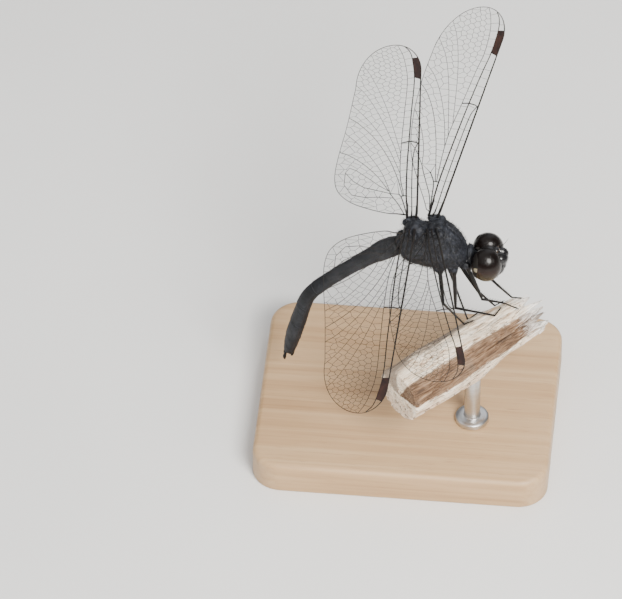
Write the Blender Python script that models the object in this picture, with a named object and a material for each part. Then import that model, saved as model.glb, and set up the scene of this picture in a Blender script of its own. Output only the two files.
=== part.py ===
"""A life-size dragonfly, still, gripping a short length of driftwood on a plain display stand.

The animal looks along +X with its left side towards +Y. The origin is the centre of the stand's
underside, and +Z is up. Every size below is in millimetres; add_object() turns them into metres.
Places on the animal are measured from the middle of its thorax.
"""

import math

import bmesh
import bpy
from mathutils import Vector

MM = 0.001
GAP = 0.08  # thin cut left between neighbouring pieces
UP = Vector((0, 0, 1))
LEFT = Vector((0, 1, 0))
SMOOTH_ANGLE = math.radians(40)

# Stand
BASE_LENGTH = 30.0
BASE_WIDTH = 24.0
BASE_HEIGHT = 3.5
BASE_CORNER = 3.0
BASE_EDGE = 0.6
BASE_FOOT_BEVEL = 0.2
ROD_RADIUS = 0.8
ROD_FOOT_RADIUS = 1.7
ROD_FOOT_HEIGHT = 0.7

# Thorax
THORAX_AT = Vector((2.5, 0, 25.3))
# along, half width, top, bottom
THORAX_SECTIONS = (
    (-3.55, 0.95, -0.05, -2.05),
    (-3.15, 1.40, 1.35, -2.45),
    (-2.55, 1.68, 2.20, -2.75),
    (-1.85, 1.83, 2.38, -2.98),
    (-1.10, 1.93, 2.08, -3.14),
    (-0.40, 1.98, 2.42, -3.24),
    (0.30, 2.00, 2.66, -3.32),
    (0.95, 2.00, 2.45, -3.36),
    (1.65, 1.92, 1.98, -3.34),
    (2.30, 1.75, 1.25, -3.18),
    (2.85, 1.40, 0.40, -2.85),
    (3.15, 0.95, -0.35, -2.45),
)
PROTHORAX_SECTIONS = (
    (3.28, 0.80, -0.60, -2.35),
    (3.45, 1.05, -0.35, -2.55),
    (3.75, 1.00, -0.50, -2.45),
    (3.95, 0.60, -0.95, -2.15),
    (4.12, 0.42, -1.15, -1.95),
)

# Head: each lump is (centre, half sizes) from the head's centre
HEAD_AT = Vector((5.45, 0, -1.95))
HEAD_LUMPS = (
    ((-0.10, 0, -0.10), (1.30, 2.05, 1.75)),
    ((1.00, 0, 0.25), (1.02, 1.15, 0.88)),
    ((1.05, 0, -0.60), (0.90, 1.22, 0.72)),
    ((0.80, 0, -1.28), (0.82, 1.10, 0.70)),
    ((0.05, 0, -1.62), (1.00, 1.05, 0.52)),
)
EYE_AT = Vector((-0.18, 1.26, 0.22))
EYE_HALF = Vector((1.56, 1.36, 1.78))
EYE_LEAN = 14.0  # degrees that the top of each eye leans to the midline
ANTENNA_AT = Vector((1.12, 0.50, 1.02))
ANTENNA_AIM = Vector((0.75, 0.45, 0.85))
ANTENNA_LENGTH = 1.25
ANTENNA_RADII = (0.27, 0.25)

# Wings: where the front edge leaves the body, then angles in degrees
FORE_ROOT = Vector((0.30, 1.25, 2.45))
HIND_ROOT = Vector((-1.95, 1.30, 2.10))
FORE_WING = {"length": 26.0, "sweep": 11.8, "lift": 10.8, "tip": 2.5, "front_turn": 0.86, "rear_turn": 0.74}
HIND_WING = {"length": 25.2, "sweep": -3.0, "lift": -0.9, "tip": 2.5, "front_turn": 0.85, "rear_turn": 0.74}
HIND_SWEEP_EXTRA = 1.0  # degrees that the left hind wing is further back, and the right less
# rear edge behind the front edge: share of the length, distance
FORE_REAR_EDGE = (
    (0.0, 1.3),
    (0.05, 2.0),
    (0.12, 3.1),
    (0.25, 4.9),
    (0.42, 6.0),
    (0.60, 6.45),
    (0.74, 6.45),
)
HIND_REAR_EDGE = (
    (0.0, 2.5),
    (0.02, 4.3),
    (0.06, 6.5),
    (0.12, 7.9),
    (0.20, 8.35),
    (0.32, 8.1),
    (0.50, 7.35),
    (0.74, 6.55),
)
WING_THICKNESS = 0.5
WING_SPAR_THICKNESS = 0.75
WING_SPAR_THINNING = 0.3  # share of its thickness that the spar loses by the tip
WING_STATIONS = 20
WING_LAST_STATION = 0.997  # share of the length, just short of the rounded tip's end
# across the wing: share of the chord, thickness as a share from plate to spar
WING_PROFILE = ((0.0, 0.55), (0.05, 1.0), (0.14, 0.25), (0.45, 0.0), (0.80, 0.0), (1.0, 0.0))

# Abdomen: its slope below the horizontal, in degrees, along its own length
ABDOMEN_START = Vector((-3.70, 0, -1.10))
ABDOMEN_SLOPE = (
    (0.0, 23.0),
    (1.6, 35.5),
    (4.0, 39.5),
    (6.5, 42.0),
    (9.5, 46.0),
    (11.0, 52.0),
    (12.2, 65.0),
    (13.2, 75.0),
    (14.6, 76.0),
    (17.0, 76.5),
    (22.0, 81.0),
)
SEGMENT_LENGTHS = (0.75, 1.75, 2.60, 2.75, 2.80, 2.75, 2.50, 2.10, 1.35, 0.85)
# along, half width, half height
ABDOMEN_GIRTH = (
    (0.0, 1.10, 1.12),
    (1.5, 1.17, 1.21),
    (3.0, 0.97, 1.02),
    (5.5, 0.84, 0.90),
    (9.0, 0.86, 0.86),
    (12.5, 0.92, 0.86),
    (15.5, 1.05, 0.92),
    (17.5, 1.06, 0.92),
    (19.2, 0.88, 0.80),
    (20.4, 0.67, 0.63),
)
SEGMENT_SWELL = 0.035  # a segment is wider by this share at its hind rim
SEGMENT_END_TAPER = 0.94  # its first and last ring are drawn in by this
BACK_RIDGE = 1.06  # the middle line of the back stands out by this
BELLY_FLATTENING = 0.86
ABDOMEN_SIDES = 16
CLASPER_LENGTH = 1.45
CLASPER_RADII = (0.26, 0.25)
CLASPERS = (  # name, across, height above the middle line, share of the full length
    ("clasper_left", 0.40, 0.22, 1.0),
    ("clasper_right", -0.40, 0.22, 1.0),
    ("clasper_lower", 0.0, -0.36, 0.7),
)
CLASPER_ARCH = 0.22

# Legs
THIGH_RADII = (0.30, 0.25)
SHIN_RADIUS = 0.25
FOOT_CLEAR = 0.38  # from the middle of a foot to the perch's skin
# coxa and knee from the thorax's middle; ankle and toe as (along the perch, degrees round it)
LEGS = {
    "front_left": ((3.35, 0.72, -2.75), (6.25, 0.55, -6.20), (1.55, 28), (2.05, 8)),
    "front_right": ((3.35, -0.72, -2.75), (4.92, -0.90, -7.00), (0.25, 20), (0.80, -10)),
    "middle_left": ((2.05, 0.90, -3.20), (4.35, 0.10, -6.85), (0.20, 62), (0.95, 48)),
    "middle_right": ((2.05, -0.90, -3.20), (2.32, -1.95, -7.45), (-1.75, 2), (-0.55, 12)),
    "hind_left": ((0.60, 0.95, -3.25), (1.00, 3.30, -6.60), (-3.00, 72), (-1.90, 62)),
    "hind_right": ((0.60, -0.95, -3.25), (1.30, -4.80, -4.10), (-4.90, 24), (-3.90, 22)),
}

# Perch: a weathered stick, its axis through one point at a heading in degrees
PERCH_AT = Vector((7.5, 0.05, -11.6))
PERCH_HEADING = 47.0
PERCH_CUT_END = -14.7
PERCH_SPLIT_END = 2.5  # where the splinters start on top
PERCH_RADIUS = ((-14.7, 2.9), (-9.0, 2.98), (-5.0, 2.9), (-1.0, 2.55), (2.5, 2.3))
PERCH_RINGS = 18
PERCH_SIDES = 20
PERCH_GROOVE = 0.32  # depth of the split face along the near side
PERCH_GROOVE_AT = -58.0  # degrees round from the top
SPLIT_SLANT = 1.1  # further that the break reaches low on the near side
SPLIT_SLANT_AT = -110.0
SPLINTER_LENGTH = 0.9
SPLINTER_BEND = 0.25  # how far a splinter's tip leans in
HOLLOW_DEPTH = 0.5
HOLLOW_WIDTH = 0.62  # share of the stick's radius
ROD_ALONG_PERCH = -4.7

COLOURS = {  # red, green, blue, roughness, metallic
    "body_shell": (0.055, 0.055, 0.085, 0.62, 0.0),
    "eye": (0.045, 0.022, 0.018, 0.12, 0.0),
    "wing": (0.80, 0.78, 0.70, 0.25, 0.0),
    "black_shell": (0.012, 0.011, 0.012, 0.35, 0.0),
    "driftwood": (0.62, 0.52, 0.44, 0.85, 0.0),
    "stand_wood": (0.72, 0.58, 0.40, 0.45, 0.0),
    "stand_steel": (0.56, 0.57, 0.58, 0.30, 1.0),
}


def clear_scene():
    for leftover in list(bpy.data.objects):
        bpy.data.objects.remove(leftover, do_unlink=True)


def material(kind):
    found = bpy.data.materials.get(kind)
    if found:
        return found
    made = bpy.data.materials.new(kind)
    made.use_nodes = True
    shader = made.node_tree.nodes["Principled BSDF"]
    red, green, blue, roughness, metallic = COLOURS[kind]
    shader.inputs["Base Color"].default_value = (red, green, blue, 1.0)
    shader.inputs["Roughness"].default_value = roughness
    shader.inputs["Metallic"].default_value = metallic
    return made


def add_object(name, points, faces, kind):
    """One closed body from points in millimetres."""
    mesh = bpy.data.meshes.new(name)
    mesh.from_pydata([Vector(p) * MM for p in points], [], faces)
    shape = bmesh.new()
    shape.from_mesh(mesh)
    bmesh.ops.recalc_face_normals(shape, faces=shape.faces)
    shape.to_mesh(mesh)
    shape.free()
    mesh.shade_smooth()
    mesh.set_sharp_from_angle(angle=SMOOTH_ANGLE)
    mesh.materials.append(material(kind))
    made = bpy.data.objects.new(name, mesh)
    bpy.context.scene.collection.objects.link(made)
    return made


def read(table, at):
    """The values beside a place in a table of (place, value, ...), on a smooth curve."""
    places = [row[0] for row in table]
    if at <= places[0]:
        return table[0][1:]
    if at >= places[-1]:
        return table[-1][1:]
    i = max(k for k, place in enumerate(places) if place <= at)
    before, low, high, after = (table[min(max(k, 0), len(table) - 1)] for k in range(i - 1, i + 3))
    span = high[0] - low[0]
    t = (at - low[0]) / span
    values = []
    for k in range(1, len(low)):
        slope_low = (high[k] - before[k]) / (high[0] - before[0]) * span
        slope_high = (after[k] - low[k]) / (after[0] - low[0]) * span
        values.append(
            (2 * t**3 - 3 * t**2 + 1) * low[k]
            + (t**3 - 2 * t**2 + t) * slope_low
            + (3 * t**2 - 2 * t**3) * high[k]
            + (t**3 - t**2) * slope_high
        )
    return values


def loft(rings):
    """Points and faces of a closed body through rings of equal count, with flat ends."""
    count = len(rings[0])
    points = [p for ring in rings for p in ring]
    faces = []
    for r in range(len(rings) - 1):
        for k in range(count):
            n = (k + 1) % count
            faces.append((r * count + k, r * count + n, (r + 1) * count + n, (r + 1) * count + k))
    faces.append(tuple(range(count)))
    faces.append(tuple(range((len(rings) - 1) * count, len(rings) * count)))
    return points, faces


def body_ring(at, half_width, top, bottom, sides, fullness=2.3):
    """A rounded upright section with its widest line halfway between its top and bottom."""
    middle, half_height = (top + bottom) / 2, (top - bottom) / 2
    ring = []
    for k in range(sides):
        angle = 2 * math.pi * k / sides
        c, s = math.cos(angle), math.sin(angle)
        across = half_width * math.copysign(abs(c) ** (2 / fullness), c)
        high = middle + half_height * math.copysign(abs(s) ** (2 / fullness), s)
        ring.append(at + LEFT * across + UP * high)
    return ring


def tube(path, radii, sides=8, end_share=0.55):
    """Points and faces of a round bar along a path, tapering evenly, its two ends drawn in."""
    last = len(path) - 1
    stations = []
    for k, at in enumerate(path):
        stations.append((at, radii[0] + (radii[1] - radii[0]) * k / last))
    first_inner = path[0] + (path[1] - path[0]).normalized() * radii[0] * 0.4
    last_inner = path[last] + (path[last - 1] - path[last]).normalized() * radii[1] * 0.4
    stations[0:1] = [(path[0], radii[0] * end_share), (first_inner, radii[0])]
    stations[-1:] = [(last_inner, radii[1]), (path[last], radii[1] * end_share)]
    rings = []
    side = (path[1] - path[0]).orthogonal().normalized()
    for k, (at, radius) in enumerate(stations):
        ahead = (stations[min(k + 1, len(stations) - 1)][0] - stations[max(k - 1, 0)][0]).normalized()
        side = (side - ahead * side.dot(ahead)).normalized()
        other = ahead.cross(side)
        ring = []
        for n in range(sides):
            angle = 2 * math.pi * n / sides
            ring.append(at + (side * math.cos(angle) + other * math.sin(angle)) * radius)
        rings.append(ring)
    return loft(rings)


def bent_path(corners, per_stretch=3, rounding=0.16):
    """A path through corners, each inner corner turned in a short curve."""
    path = [corners[0]]
    for k in range(1, len(corners) - 1):
        before, at, after = corners[k - 1], corners[k], corners[k + 1]
        start = at.lerp(before, rounding)
        end = at.lerp(after, rounding)
        for n in range(per_stretch + 1):
            t = n / per_stretch
            path.append(start.lerp(at, t).lerp(at.lerp(end, t), t))
    path.append(corners[-1])
    return path


def ellipsoid(name, centre, half_sizes, kind, segments=20, rings=14, lean=0.0):
    """A closed egg at centre, leant about the X axis by degrees."""
    points, faces = [], []
    turn = math.radians(lean)
    for r in range(1, rings):
        polar = math.pi * r / rings
        for k in range(segments):
            angle = 2 * math.pi * k / segments
            x = half_sizes[0] * math.sin(polar) * math.cos(angle)
            y = half_sizes[1] * math.sin(polar) * math.sin(angle)
            z = half_sizes[2] * math.cos(polar)
            points.append((x, y, z))
    top, bottom = len(points), len(points) + 1
    points += [(0, 0, half_sizes[2]), (0, 0, -half_sizes[2])]
    last = (rings - 2) * segments
    for k in range(segments):
        n = (k + 1) % segments
        faces += [(top, k, n), (bottom, last + n, last + k)]
        for r in range(rings - 2):
            low, high = r * segments, (r + 1) * segments
            faces.append((low + k, high + k, high + n, low + n))
    placed = []
    for x, y, z in points:
        leant = (x, y * math.cos(turn) - z * math.sin(turn), y * math.sin(turn) + z * math.cos(turn))
        placed.append(Vector(leant) + centre)
    return add_object(name, placed, faces, kind)


def hide_tool(tool):
    tool.hide_render = True
    tool.display_type = "WIRE"
    return tool


def swollen(source, by):
    """A hidden cutter: the source's finished shape, grown outwards."""
    depsgraph = bpy.context.evaluated_depsgraph_get()
    mesh = bpy.data.meshes.new_from_object(source.evaluated_get(depsgraph))
    shape = bmesh.new()
    shape.from_mesh(mesh)
    shape.normal_update()
    for vertex in shape.verts:
        vertex.co += vertex.normal * by * MM
    shape.to_mesh(mesh)
    shape.free()
    cutter = bpy.data.objects.new(source.name + "_cutter", mesh)
    bpy.context.scene.collection.objects.link(cutter)
    return hide_tool(cutter)


def combine(target, tool, operation):
    step = target.modifiers.new(operation.lower(), "BOOLEAN")
    step.operation = operation
    step.solver = "EXACT"
    step.object = tool


def along_thorax(sections, sides):
    rings = []
    for x, half_width, top, bottom in sections:
        rings.append(body_ring(THORAX_AT + Vector((x, 0, 0)), half_width, top, bottom, sides))
    return loft(rings)


def make_thorax():
    return add_object("thorax", *along_thorax(THORAX_SECTIONS, 24), "body_shell")


def make_prothorax():
    add_object("prothorax", *along_thorax(PROTHORAX_SECTIONS, 18), "body_shell")


def mirrored(point, sign):
    return Vector((point[0], point[1] * sign, point[2]))


def make_eyes():
    """Two tall eyes that meet on the midline, each cut flat there."""
    eyes = []
    for side, sign in (("left", 1), ("right", -1)):
        centre = THORAX_AT + HEAD_AT + mirrored(EYE_AT, sign)
        eye = ellipsoid("eye_" + side, centre, EYE_HALF, "eye", 20, 13, EYE_LEAN * sign)
        flat = max if sign > 0 else min
        for vertex in eye.data.vertices:
            vertex.co.y = flat(vertex.co.y, sign * GAP / 2 * MM)
        eyes.append(eye)
    return eyes


def make_head(eyes):
    """Brain case, forehead, clypeus, upper lip and lower lip in one body, hollowed for the eyes."""
    parts = []
    for k, (centre, half_sizes) in enumerate(HEAD_LUMPS):
        name = "head" if k == 0 else "head_lump_" + str(k)
        at = THORAX_AT + HEAD_AT + Vector(centre)
        parts.append(ellipsoid(name, at, half_sizes, "body_shell", 20, 12))
    for lump in parts[1:]:
        combine(parts[0], hide_tool(lump), "UNION")
    for eye in eyes:
        combine(parts[0], swollen(eye, GAP), "DIFFERENCE")
    return parts[0]


def make_antennae(head, eyes):
    for side, sign in (("left", 1), ("right", -1)):
        root = THORAX_AT + HEAD_AT + mirrored(ANTENNA_AT, sign)
        aim = mirrored(ANTENNA_AIM, sign).normalized()
        path = [root + aim * ANTENNA_LENGTH * t for t in (0, 0.5, 1)]
        antenna = add_object("antenna_" + side, *tube(path, ANTENNA_RADII), "black_shell")
        for neighbour in (head, *eyes):
            combine(antenna, swollen(neighbour, GAP), "DIFFERENCE")


def wing_edges(wing, rear_edge, share):
    """Front and rear edge, behind the root's line, at a share of the wing's length."""
    front = 0.0
    if share > wing["front_turn"]:
        t = (share - wing["front_turn"]) / (1 - wing["front_turn"])
        front = wing["tip"] * (1 - math.sqrt(max(1 - t * t, 0)))
    rear = read(rear_edge, share)[0]
    if share > wing["rear_turn"]:
        t = (share - wing["rear_turn"]) / (1 - wing["rear_turn"])
        rear = wing["tip"] + (rear_edge[-1][1] - wing["tip"]) * math.sqrt(max(1 - t * t, 0))
    return front, rear


def make_wing(name, root, wing, rear_edge, sign, sweep, thorax):
    sweep, lift = math.radians(sweep), math.radians(wing["lift"])
    outwards = Vector(
        (math.sin(sweep) * math.cos(lift), sign * math.cos(sweep) * math.cos(lift), math.sin(lift))
    )
    back = Vector((-math.cos(sweep), sign * math.sin(sweep), 0))
    above = outwards.cross(back) * -sign
    rings = []
    for k in range(WING_STATIONS + 1):
        share = WING_LAST_STATION * (1 - math.cos(math.pi * k / WING_STATIONS)) / 2
        front, rear = wing_edges(wing, rear_edge, share)
        at = THORAX_AT + mirrored(root, sign) + outwards * wing["length"] * share
        upper, lower = [], []
        for across, spar in WING_PROFILE:
            extra = WING_SPAR_THICKNESS * (1 - WING_SPAR_THINNING * share) - WING_THICKNESS
            half = (WING_THICKNESS + max(extra, 0) * spar) / 2
            place = at + back * (front + (rear - front) * across)
            upper.append(place + above * half)
            lower.append(place - above * half)
        rings.append(upper + lower[::-1])
    made = add_object(name, *loft(rings), "wing")
    combine(made, swollen(thorax, GAP), "DIFFERENCE")


def make_wings(thorax):
    for side, sign in (("left", 1), ("right", -1)):
        fore_sweep = FORE_WING["sweep"]
        hind_sweep = HIND_WING["sweep"] - HIND_SWEEP_EXTRA * sign
        make_wing("wing_fore_" + side, FORE_ROOT, FORE_WING, FORE_REAR_EDGE, sign, fore_sweep, thorax)
        make_wing("wing_hind_" + side, HIND_ROOT, HIND_WING, HIND_REAR_EDGE, sign, hind_sweep, thorax)


def abdomen_line(step=0.05):
    """Places and headings along the abdomen's middle, one for each step of its length."""
    line = []
    at = THORAX_AT + ABDOMEN_START
    length = sum(SEGMENT_LENGTHS) + CLASPER_LENGTH + 1
    for k in range(int(length / step)):
        slope = math.radians(read(ABDOMEN_SLOPE, k * step)[0])
        ahead = Vector((-math.cos(slope), 0, -math.sin(slope)))
        line.append((at.copy(), ahead))
        at += ahead * step
    return line, step


def abdomen_frame(line, step, along):
    at, ahead = line[round(along / step)]
    return at, ahead, LEFT.cross(ahead)


def make_abdomen(thorax):
    line, step = abdomen_line()
    start = 0.0
    for number, length in enumerate(SEGMENT_LENGTHS, 1):
        rings = []
        for share in (0.0, 0.12, 0.5, 0.9, 1.0):
            along = start + GAP / 2 + (length - GAP) * share
            at, ahead, above = abdomen_frame(line, step, along)
            half_width, half_height = read(ABDOMEN_GIRTH, along)
            swell = 1 + SEGMENT_SWELL * (share - 0.5)
            if share in (0.0, 1.0):
                swell *= SEGMENT_END_TAPER
            ring = []
            for k in range(ABDOMEN_SIDES):
                angle = 2 * math.pi * k / ABDOMEN_SIDES
                high = half_height * swell * math.sin(angle)
                if k == ABDOMEN_SIDES // 4:
                    high *= BACK_RIDGE
                elif high < 0:
                    high *= BELLY_FLATTENING
                ring.append(at + LEFT * half_width * swell * math.cos(angle) + above * high)
            rings.append(ring)
        segment = add_object("abdomen_" + str(number), *loft(rings), "body_shell")
        if number == 1:
            combine(segment, swollen(thorax, GAP), "DIFFERENCE")
        start += length
    return line, step, start


def make_claspers(line, step, start):
    """Two arched upper claspers side by side and a shorter one below them."""
    for name, across, high, length_share in CLASPERS:
        path = []
        for share in (0.0, 0.35, 0.7, 1.0):
            along = start + GAP + CLASPER_LENGTH * length_share * share
            at, ahead, above = abdomen_frame(line, step, along)
            arch = CLASPER_ARCH * math.sin(math.pi * share) * (1 if high > 0 else -0.3)
            path.append(at + LEFT * across + above * (high + arch))
        add_object(name, *tube(path, CLASPER_RADII), "black_shell")


def perch_directions():
    heading = math.radians(PERCH_HEADING)
    ahead = Vector((math.cos(heading), math.sin(heading), 0))
    return ahead, UP.cross(ahead)


def perch_radius(along, angle):
    """Distance from the stick's axis to its surface; the angle is round from the top, in radians."""
    radius = read(PERCH_RADIUS, along)[0]
    ripple = 0.035 * math.sin(3 * angle + 0.55 * along) + 0.025 * math.sin(5 * angle - 0.9 * along + 1.0)
    off = (angle - math.radians(PERCH_GROOVE_AT) + math.pi) % (2 * math.pi) - math.pi
    groove = PERCH_GROOVE * math.exp(-((off / 0.38) ** 2))
    return radius * (1 + ripple) - groove


def perch_point(along, angle, clear=0.0):
    ahead, side = perch_directions()
    radius = perch_radius(along, angle) + clear
    return THORAX_AT + PERCH_AT + ahead * along + (side * math.sin(angle) + UP * math.cos(angle)) * radius


def break_at(angle):
    """How far along the axis the stick is whole, on the line at this angle from the top."""
    return PERCH_SPLIT_END + SPLIT_SLANT * (0.5 + 0.5 * math.cos(angle - math.radians(SPLIT_SLANT_AT)))


def make_perch():
    """A stick cut square at one end and broken into splinters round a hollow at the other."""
    ahead, side = perch_directions()
    angles = [2 * math.pi * n / PERCH_SIDES for n in range(PERCH_SIDES)]
    rings = []
    for k in range(PERCH_RINGS):
        share = k / (PERCH_RINGS - 1)
        ring = []
        for angle in angles:
            along = PERCH_CUT_END + (break_at(angle) - PERCH_CUT_END) * share
            ring.append(perch_point(along, angle))
        rings.append(ring)
    tips, hollow = [], []
    for n, angle in enumerate(angles):
        long_one = (0.55 + 0.45 * math.sin(7.3 * n)) if n % 2 else 0.1
        tip = perch_point(break_at(angle), angle, -SPLINTER_BEND * long_one)
        tips.append(tip + ahead * SPLINTER_LENGTH * long_one)
        out = side * math.sin(angle) + UP * math.cos(angle)
        centre = THORAX_AT + PERCH_AT + ahead * (break_at(angle) - HOLLOW_DEPTH)
        hollow.append(centre + out * perch_radius(break_at(angle), angle) * HOLLOW_WIDTH)
    return add_object("perch", *loft(rings + [tips, hollow]), "driftwood")


def make_legs(thorax):
    """Each leg is a thigh from the body to the knee, then a shin and foot from the knee to the perch."""
    for name, (coxa, knee, ankle, toe) in LEGS.items():
        hip = THORAX_AT + Vector(coxa)
        knee_at = THORAX_AT + Vector(knee)
        ankle_at = perch_point(ankle[0], math.radians(ankle[1]), FOOT_CLEAR)
        toe_at = perch_point(toe[0], math.radians(toe[1]), FOOT_CLEAR)
        towards = (knee_at - hip).normalized()
        thigh_end = knee_at - towards * (SHIN_RADIUS + GAP)
        thigh_path = [hip, hip + towards * 0.8, hip.lerp(knee_at, 0.6), thigh_end]
        thigh = add_object("leg_" + name + "_thigh", *tube(thigh_path, THIGH_RADII), "black_shell")
        combine(thigh, swollen(thorax, GAP), "DIFFERENCE")
        shin_path = bent_path([knee_at, ankle_at, toe_at])
        shin_radii = (SHIN_RADIUS, SHIN_RADIUS)
        add_object("leg_" + name + "_shin", *tube(shin_path, shin_radii), "black_shell")


def rounded_rectangle(half_length, half_width, corner, z, per_corner=6):
    ring = []
    for quarter, (sx, sy) in enumerate(((1, 1), (-1, 1), (-1, -1), (1, -1))):
        for k in range(per_corner + 1):
            angle = math.pi / 2 * (quarter + k / per_corner)
            x = sx * (half_length - corner) + corner * math.cos(angle)
            y = sy * (half_width - corner) + corner * math.sin(angle)
            ring.append(Vector((x, y, z)))
    return ring


def make_base():
    """A flat block with round corners and a softened top edge."""
    half_length, half_width = BASE_LENGTH / 2, BASE_WIDTH / 2
    rings = []
    for inset, z in ((BASE_FOOT_BEVEL, 0.0), (0.0, BASE_FOOT_BEVEL)):
        rings.append(rounded_rectangle(half_length - inset, half_width - inset, BASE_CORNER - inset, z))
    for k in range(4):
        angle = math.pi / 2 * k / 3
        inset = BASE_EDGE * (1 - math.cos(angle))
        z = BASE_HEIGHT - BASE_EDGE * (1 - math.sin(angle))
        rings.append(rounded_rectangle(half_length - inset, half_width - inset, BASE_CORNER - inset, z))
    return add_object("stand_base", *loft(rings), "stand_wood")


def make_rod(perch):
    """A turned rod with a wide foot on the base, its top following the perch's underside."""
    ahead, _ = perch_directions()
    under = THORAX_AT + PERCH_AT + ahead * ROD_ALONG_PERCH
    low = BASE_HEIGHT + GAP
    profile = (
        (ROD_FOOT_RADIUS, low),
        (ROD_FOOT_RADIUS, low + ROD_FOOT_HEIGHT * 0.6),
        (ROD_FOOT_RADIUS - 0.25, low + ROD_FOOT_HEIGHT),
        (ROD_RADIUS + 0.15, low + ROD_FOOT_HEIGHT + 0.1),
        (ROD_RADIUS, low + ROD_FOOT_HEIGHT + 0.3),
        (ROD_RADIUS, under.z - ROD_RADIUS),
    )
    rings = []
    for radius, z in profile:
        ring = []
        for k in range(20):
            angle = 2 * math.pi * k / 20
            ring.append(Vector((under.x + radius * math.cos(angle), under.y + radius * math.sin(angle), z)))
        rings.append(ring)
    rod = add_object("stand_rod", *loft(rings), "stand_steel")
    combine(rod, swollen(perch, GAP), "DIFFERENCE")


def main():
    clear_scene()
    thorax = make_thorax()
    make_prothorax()
    eyes = make_eyes()
    head = make_head(eyes)
    make_antennae(head, eyes)
    make_wings(thorax)
    line, step, abdomen_end = make_abdomen(thorax)
    make_claspers(line, step, abdomen_end)
    perch = make_perch()
    make_legs(thorax)
    make_base()
    make_rod(perch)


main()
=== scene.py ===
import bisect
import math
import random

import bpy
from mathutils import Matrix, Vector, geometry, noise


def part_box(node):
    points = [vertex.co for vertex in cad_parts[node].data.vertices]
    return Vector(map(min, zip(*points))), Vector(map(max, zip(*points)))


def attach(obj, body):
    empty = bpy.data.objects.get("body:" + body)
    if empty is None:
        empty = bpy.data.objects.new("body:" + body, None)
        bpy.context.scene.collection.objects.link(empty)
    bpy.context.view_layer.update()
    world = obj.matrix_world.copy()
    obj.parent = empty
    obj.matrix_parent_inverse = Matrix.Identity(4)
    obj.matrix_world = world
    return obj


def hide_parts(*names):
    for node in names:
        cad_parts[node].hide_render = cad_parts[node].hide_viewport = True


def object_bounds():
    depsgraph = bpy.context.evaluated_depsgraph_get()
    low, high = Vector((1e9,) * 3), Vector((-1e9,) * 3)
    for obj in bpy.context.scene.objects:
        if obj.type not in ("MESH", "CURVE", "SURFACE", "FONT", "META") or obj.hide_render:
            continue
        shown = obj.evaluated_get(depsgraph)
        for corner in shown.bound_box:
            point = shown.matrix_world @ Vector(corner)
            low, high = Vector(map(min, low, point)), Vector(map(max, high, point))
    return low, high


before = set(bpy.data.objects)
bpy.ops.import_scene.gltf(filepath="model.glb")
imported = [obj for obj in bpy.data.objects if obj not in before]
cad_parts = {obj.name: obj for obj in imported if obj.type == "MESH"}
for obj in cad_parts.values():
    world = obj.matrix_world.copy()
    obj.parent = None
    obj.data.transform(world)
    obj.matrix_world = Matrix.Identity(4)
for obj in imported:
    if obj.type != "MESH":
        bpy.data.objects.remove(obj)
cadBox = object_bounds()
mm = 0.001
chance = random.Random(41)

# the thorax's middle, in millimetres, from its node's front and top; animal sizes are measured from it
thoraxFront = {"forward": 3.15, "up": 2.66}
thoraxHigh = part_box("thorax")[1]
middle = Vector((thoraxHigh.x / mm - thoraxFront["forward"], 0, thoraxHigh.z / mm - thoraxFront["up"]))
up = Vector((0, 0, 1))
left = Vector((0, 1, 0))


def say(text):
    print("dragonfly:", text)


def real(place):
    # millimetres from the thorax's middle, as metres in the frame
    return (middle + Vector(place)) * mm


def mirrored(place, sign):
    return Vector((place[0], place[1] * sign, place[2]))


def smoothStep(low, high, value):
    t = min(max((value - low) / (high - low), 0), 1)
    return t * t * (3 - 2 * t)


def bell(distance, width):
    return math.exp(-((distance / width) ** 2))


def eased(t):
    # 0 to 1 with its steps closer together at both ends
    return (1 - math.cos(math.pi * t)) / 2


def roundedEnd(t):
    # how far a rounded end has closed in, from 1 to 0, as t goes from 0 to 1
    return math.sqrt(max(1 - t * t, 0))


def readTable(table, at):
    # the values beside a place in a table, on a smooth curve through its rows
    if at <= table[0][0]:
        return table[0][1:]
    if at >= table[-1][0]:
        return table[-1][1:]
    k = max(n for n, row in enumerate(table) if row[0] <= at)
    before, low, high, after = (table[min(max(n, 0), len(table) - 1)] for n in range(k - 1, k + 3))
    span = high[0] - low[0]
    t = (at - low[0]) / span
    values = []
    for n in range(1, len(low)):
        slopeLow = (high[n] - before[n]) / (high[0] - before[0]) * span
        slopeHigh = (after[n] - low[n]) / (after[0] - low[0]) * span
        values.append(
            (2 * t**3 - 3 * t**2 + 1) * low[n]
            + (t**3 - 2 * t**2 + t) * slopeLow
            + (3 * t**2 - 2 * t**3) * high[n]
            + (t**3 - t**2) * slopeHigh
        )
    return values


# ways of making meshes

def pick(*pieces):
    bpy.ops.object.select_all(action="DESELECT")
    for piece in pieces:
        piece.select_set(True)
    if pieces:
        bpy.context.view_layer.objects.active = pieces[0]


def weld(piece):
    # joins points that meet, then turns every face outwards
    pick(piece)
    bpy.ops.object.mode_set(mode="EDIT")
    bpy.ops.mesh.select_all(action="SELECT")
    bpy.ops.mesh.remove_doubles(threshold=1e-6)
    bpy.ops.mesh.select_all(action="SELECT")
    bpy.ops.mesh.normals_make_consistent(inside=False)
    bpy.ops.object.mode_set(mode="OBJECT")


def modify(piece, kind, **settings):
    pick(piece)
    step = piece.modifiers.new(kind.title(), kind)
    for key, value in settings.items():
        setattr(step, key, value)
    bpy.ops.object.modifier_apply(modifier=step.name)


def join(name, pieces):
    pick(*pieces)
    if len(pieces) > 1:
        bpy.ops.object.join()
    piece = bpy.context.object
    piece.name = name
    piece.data.name = name
    return piece


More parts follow.
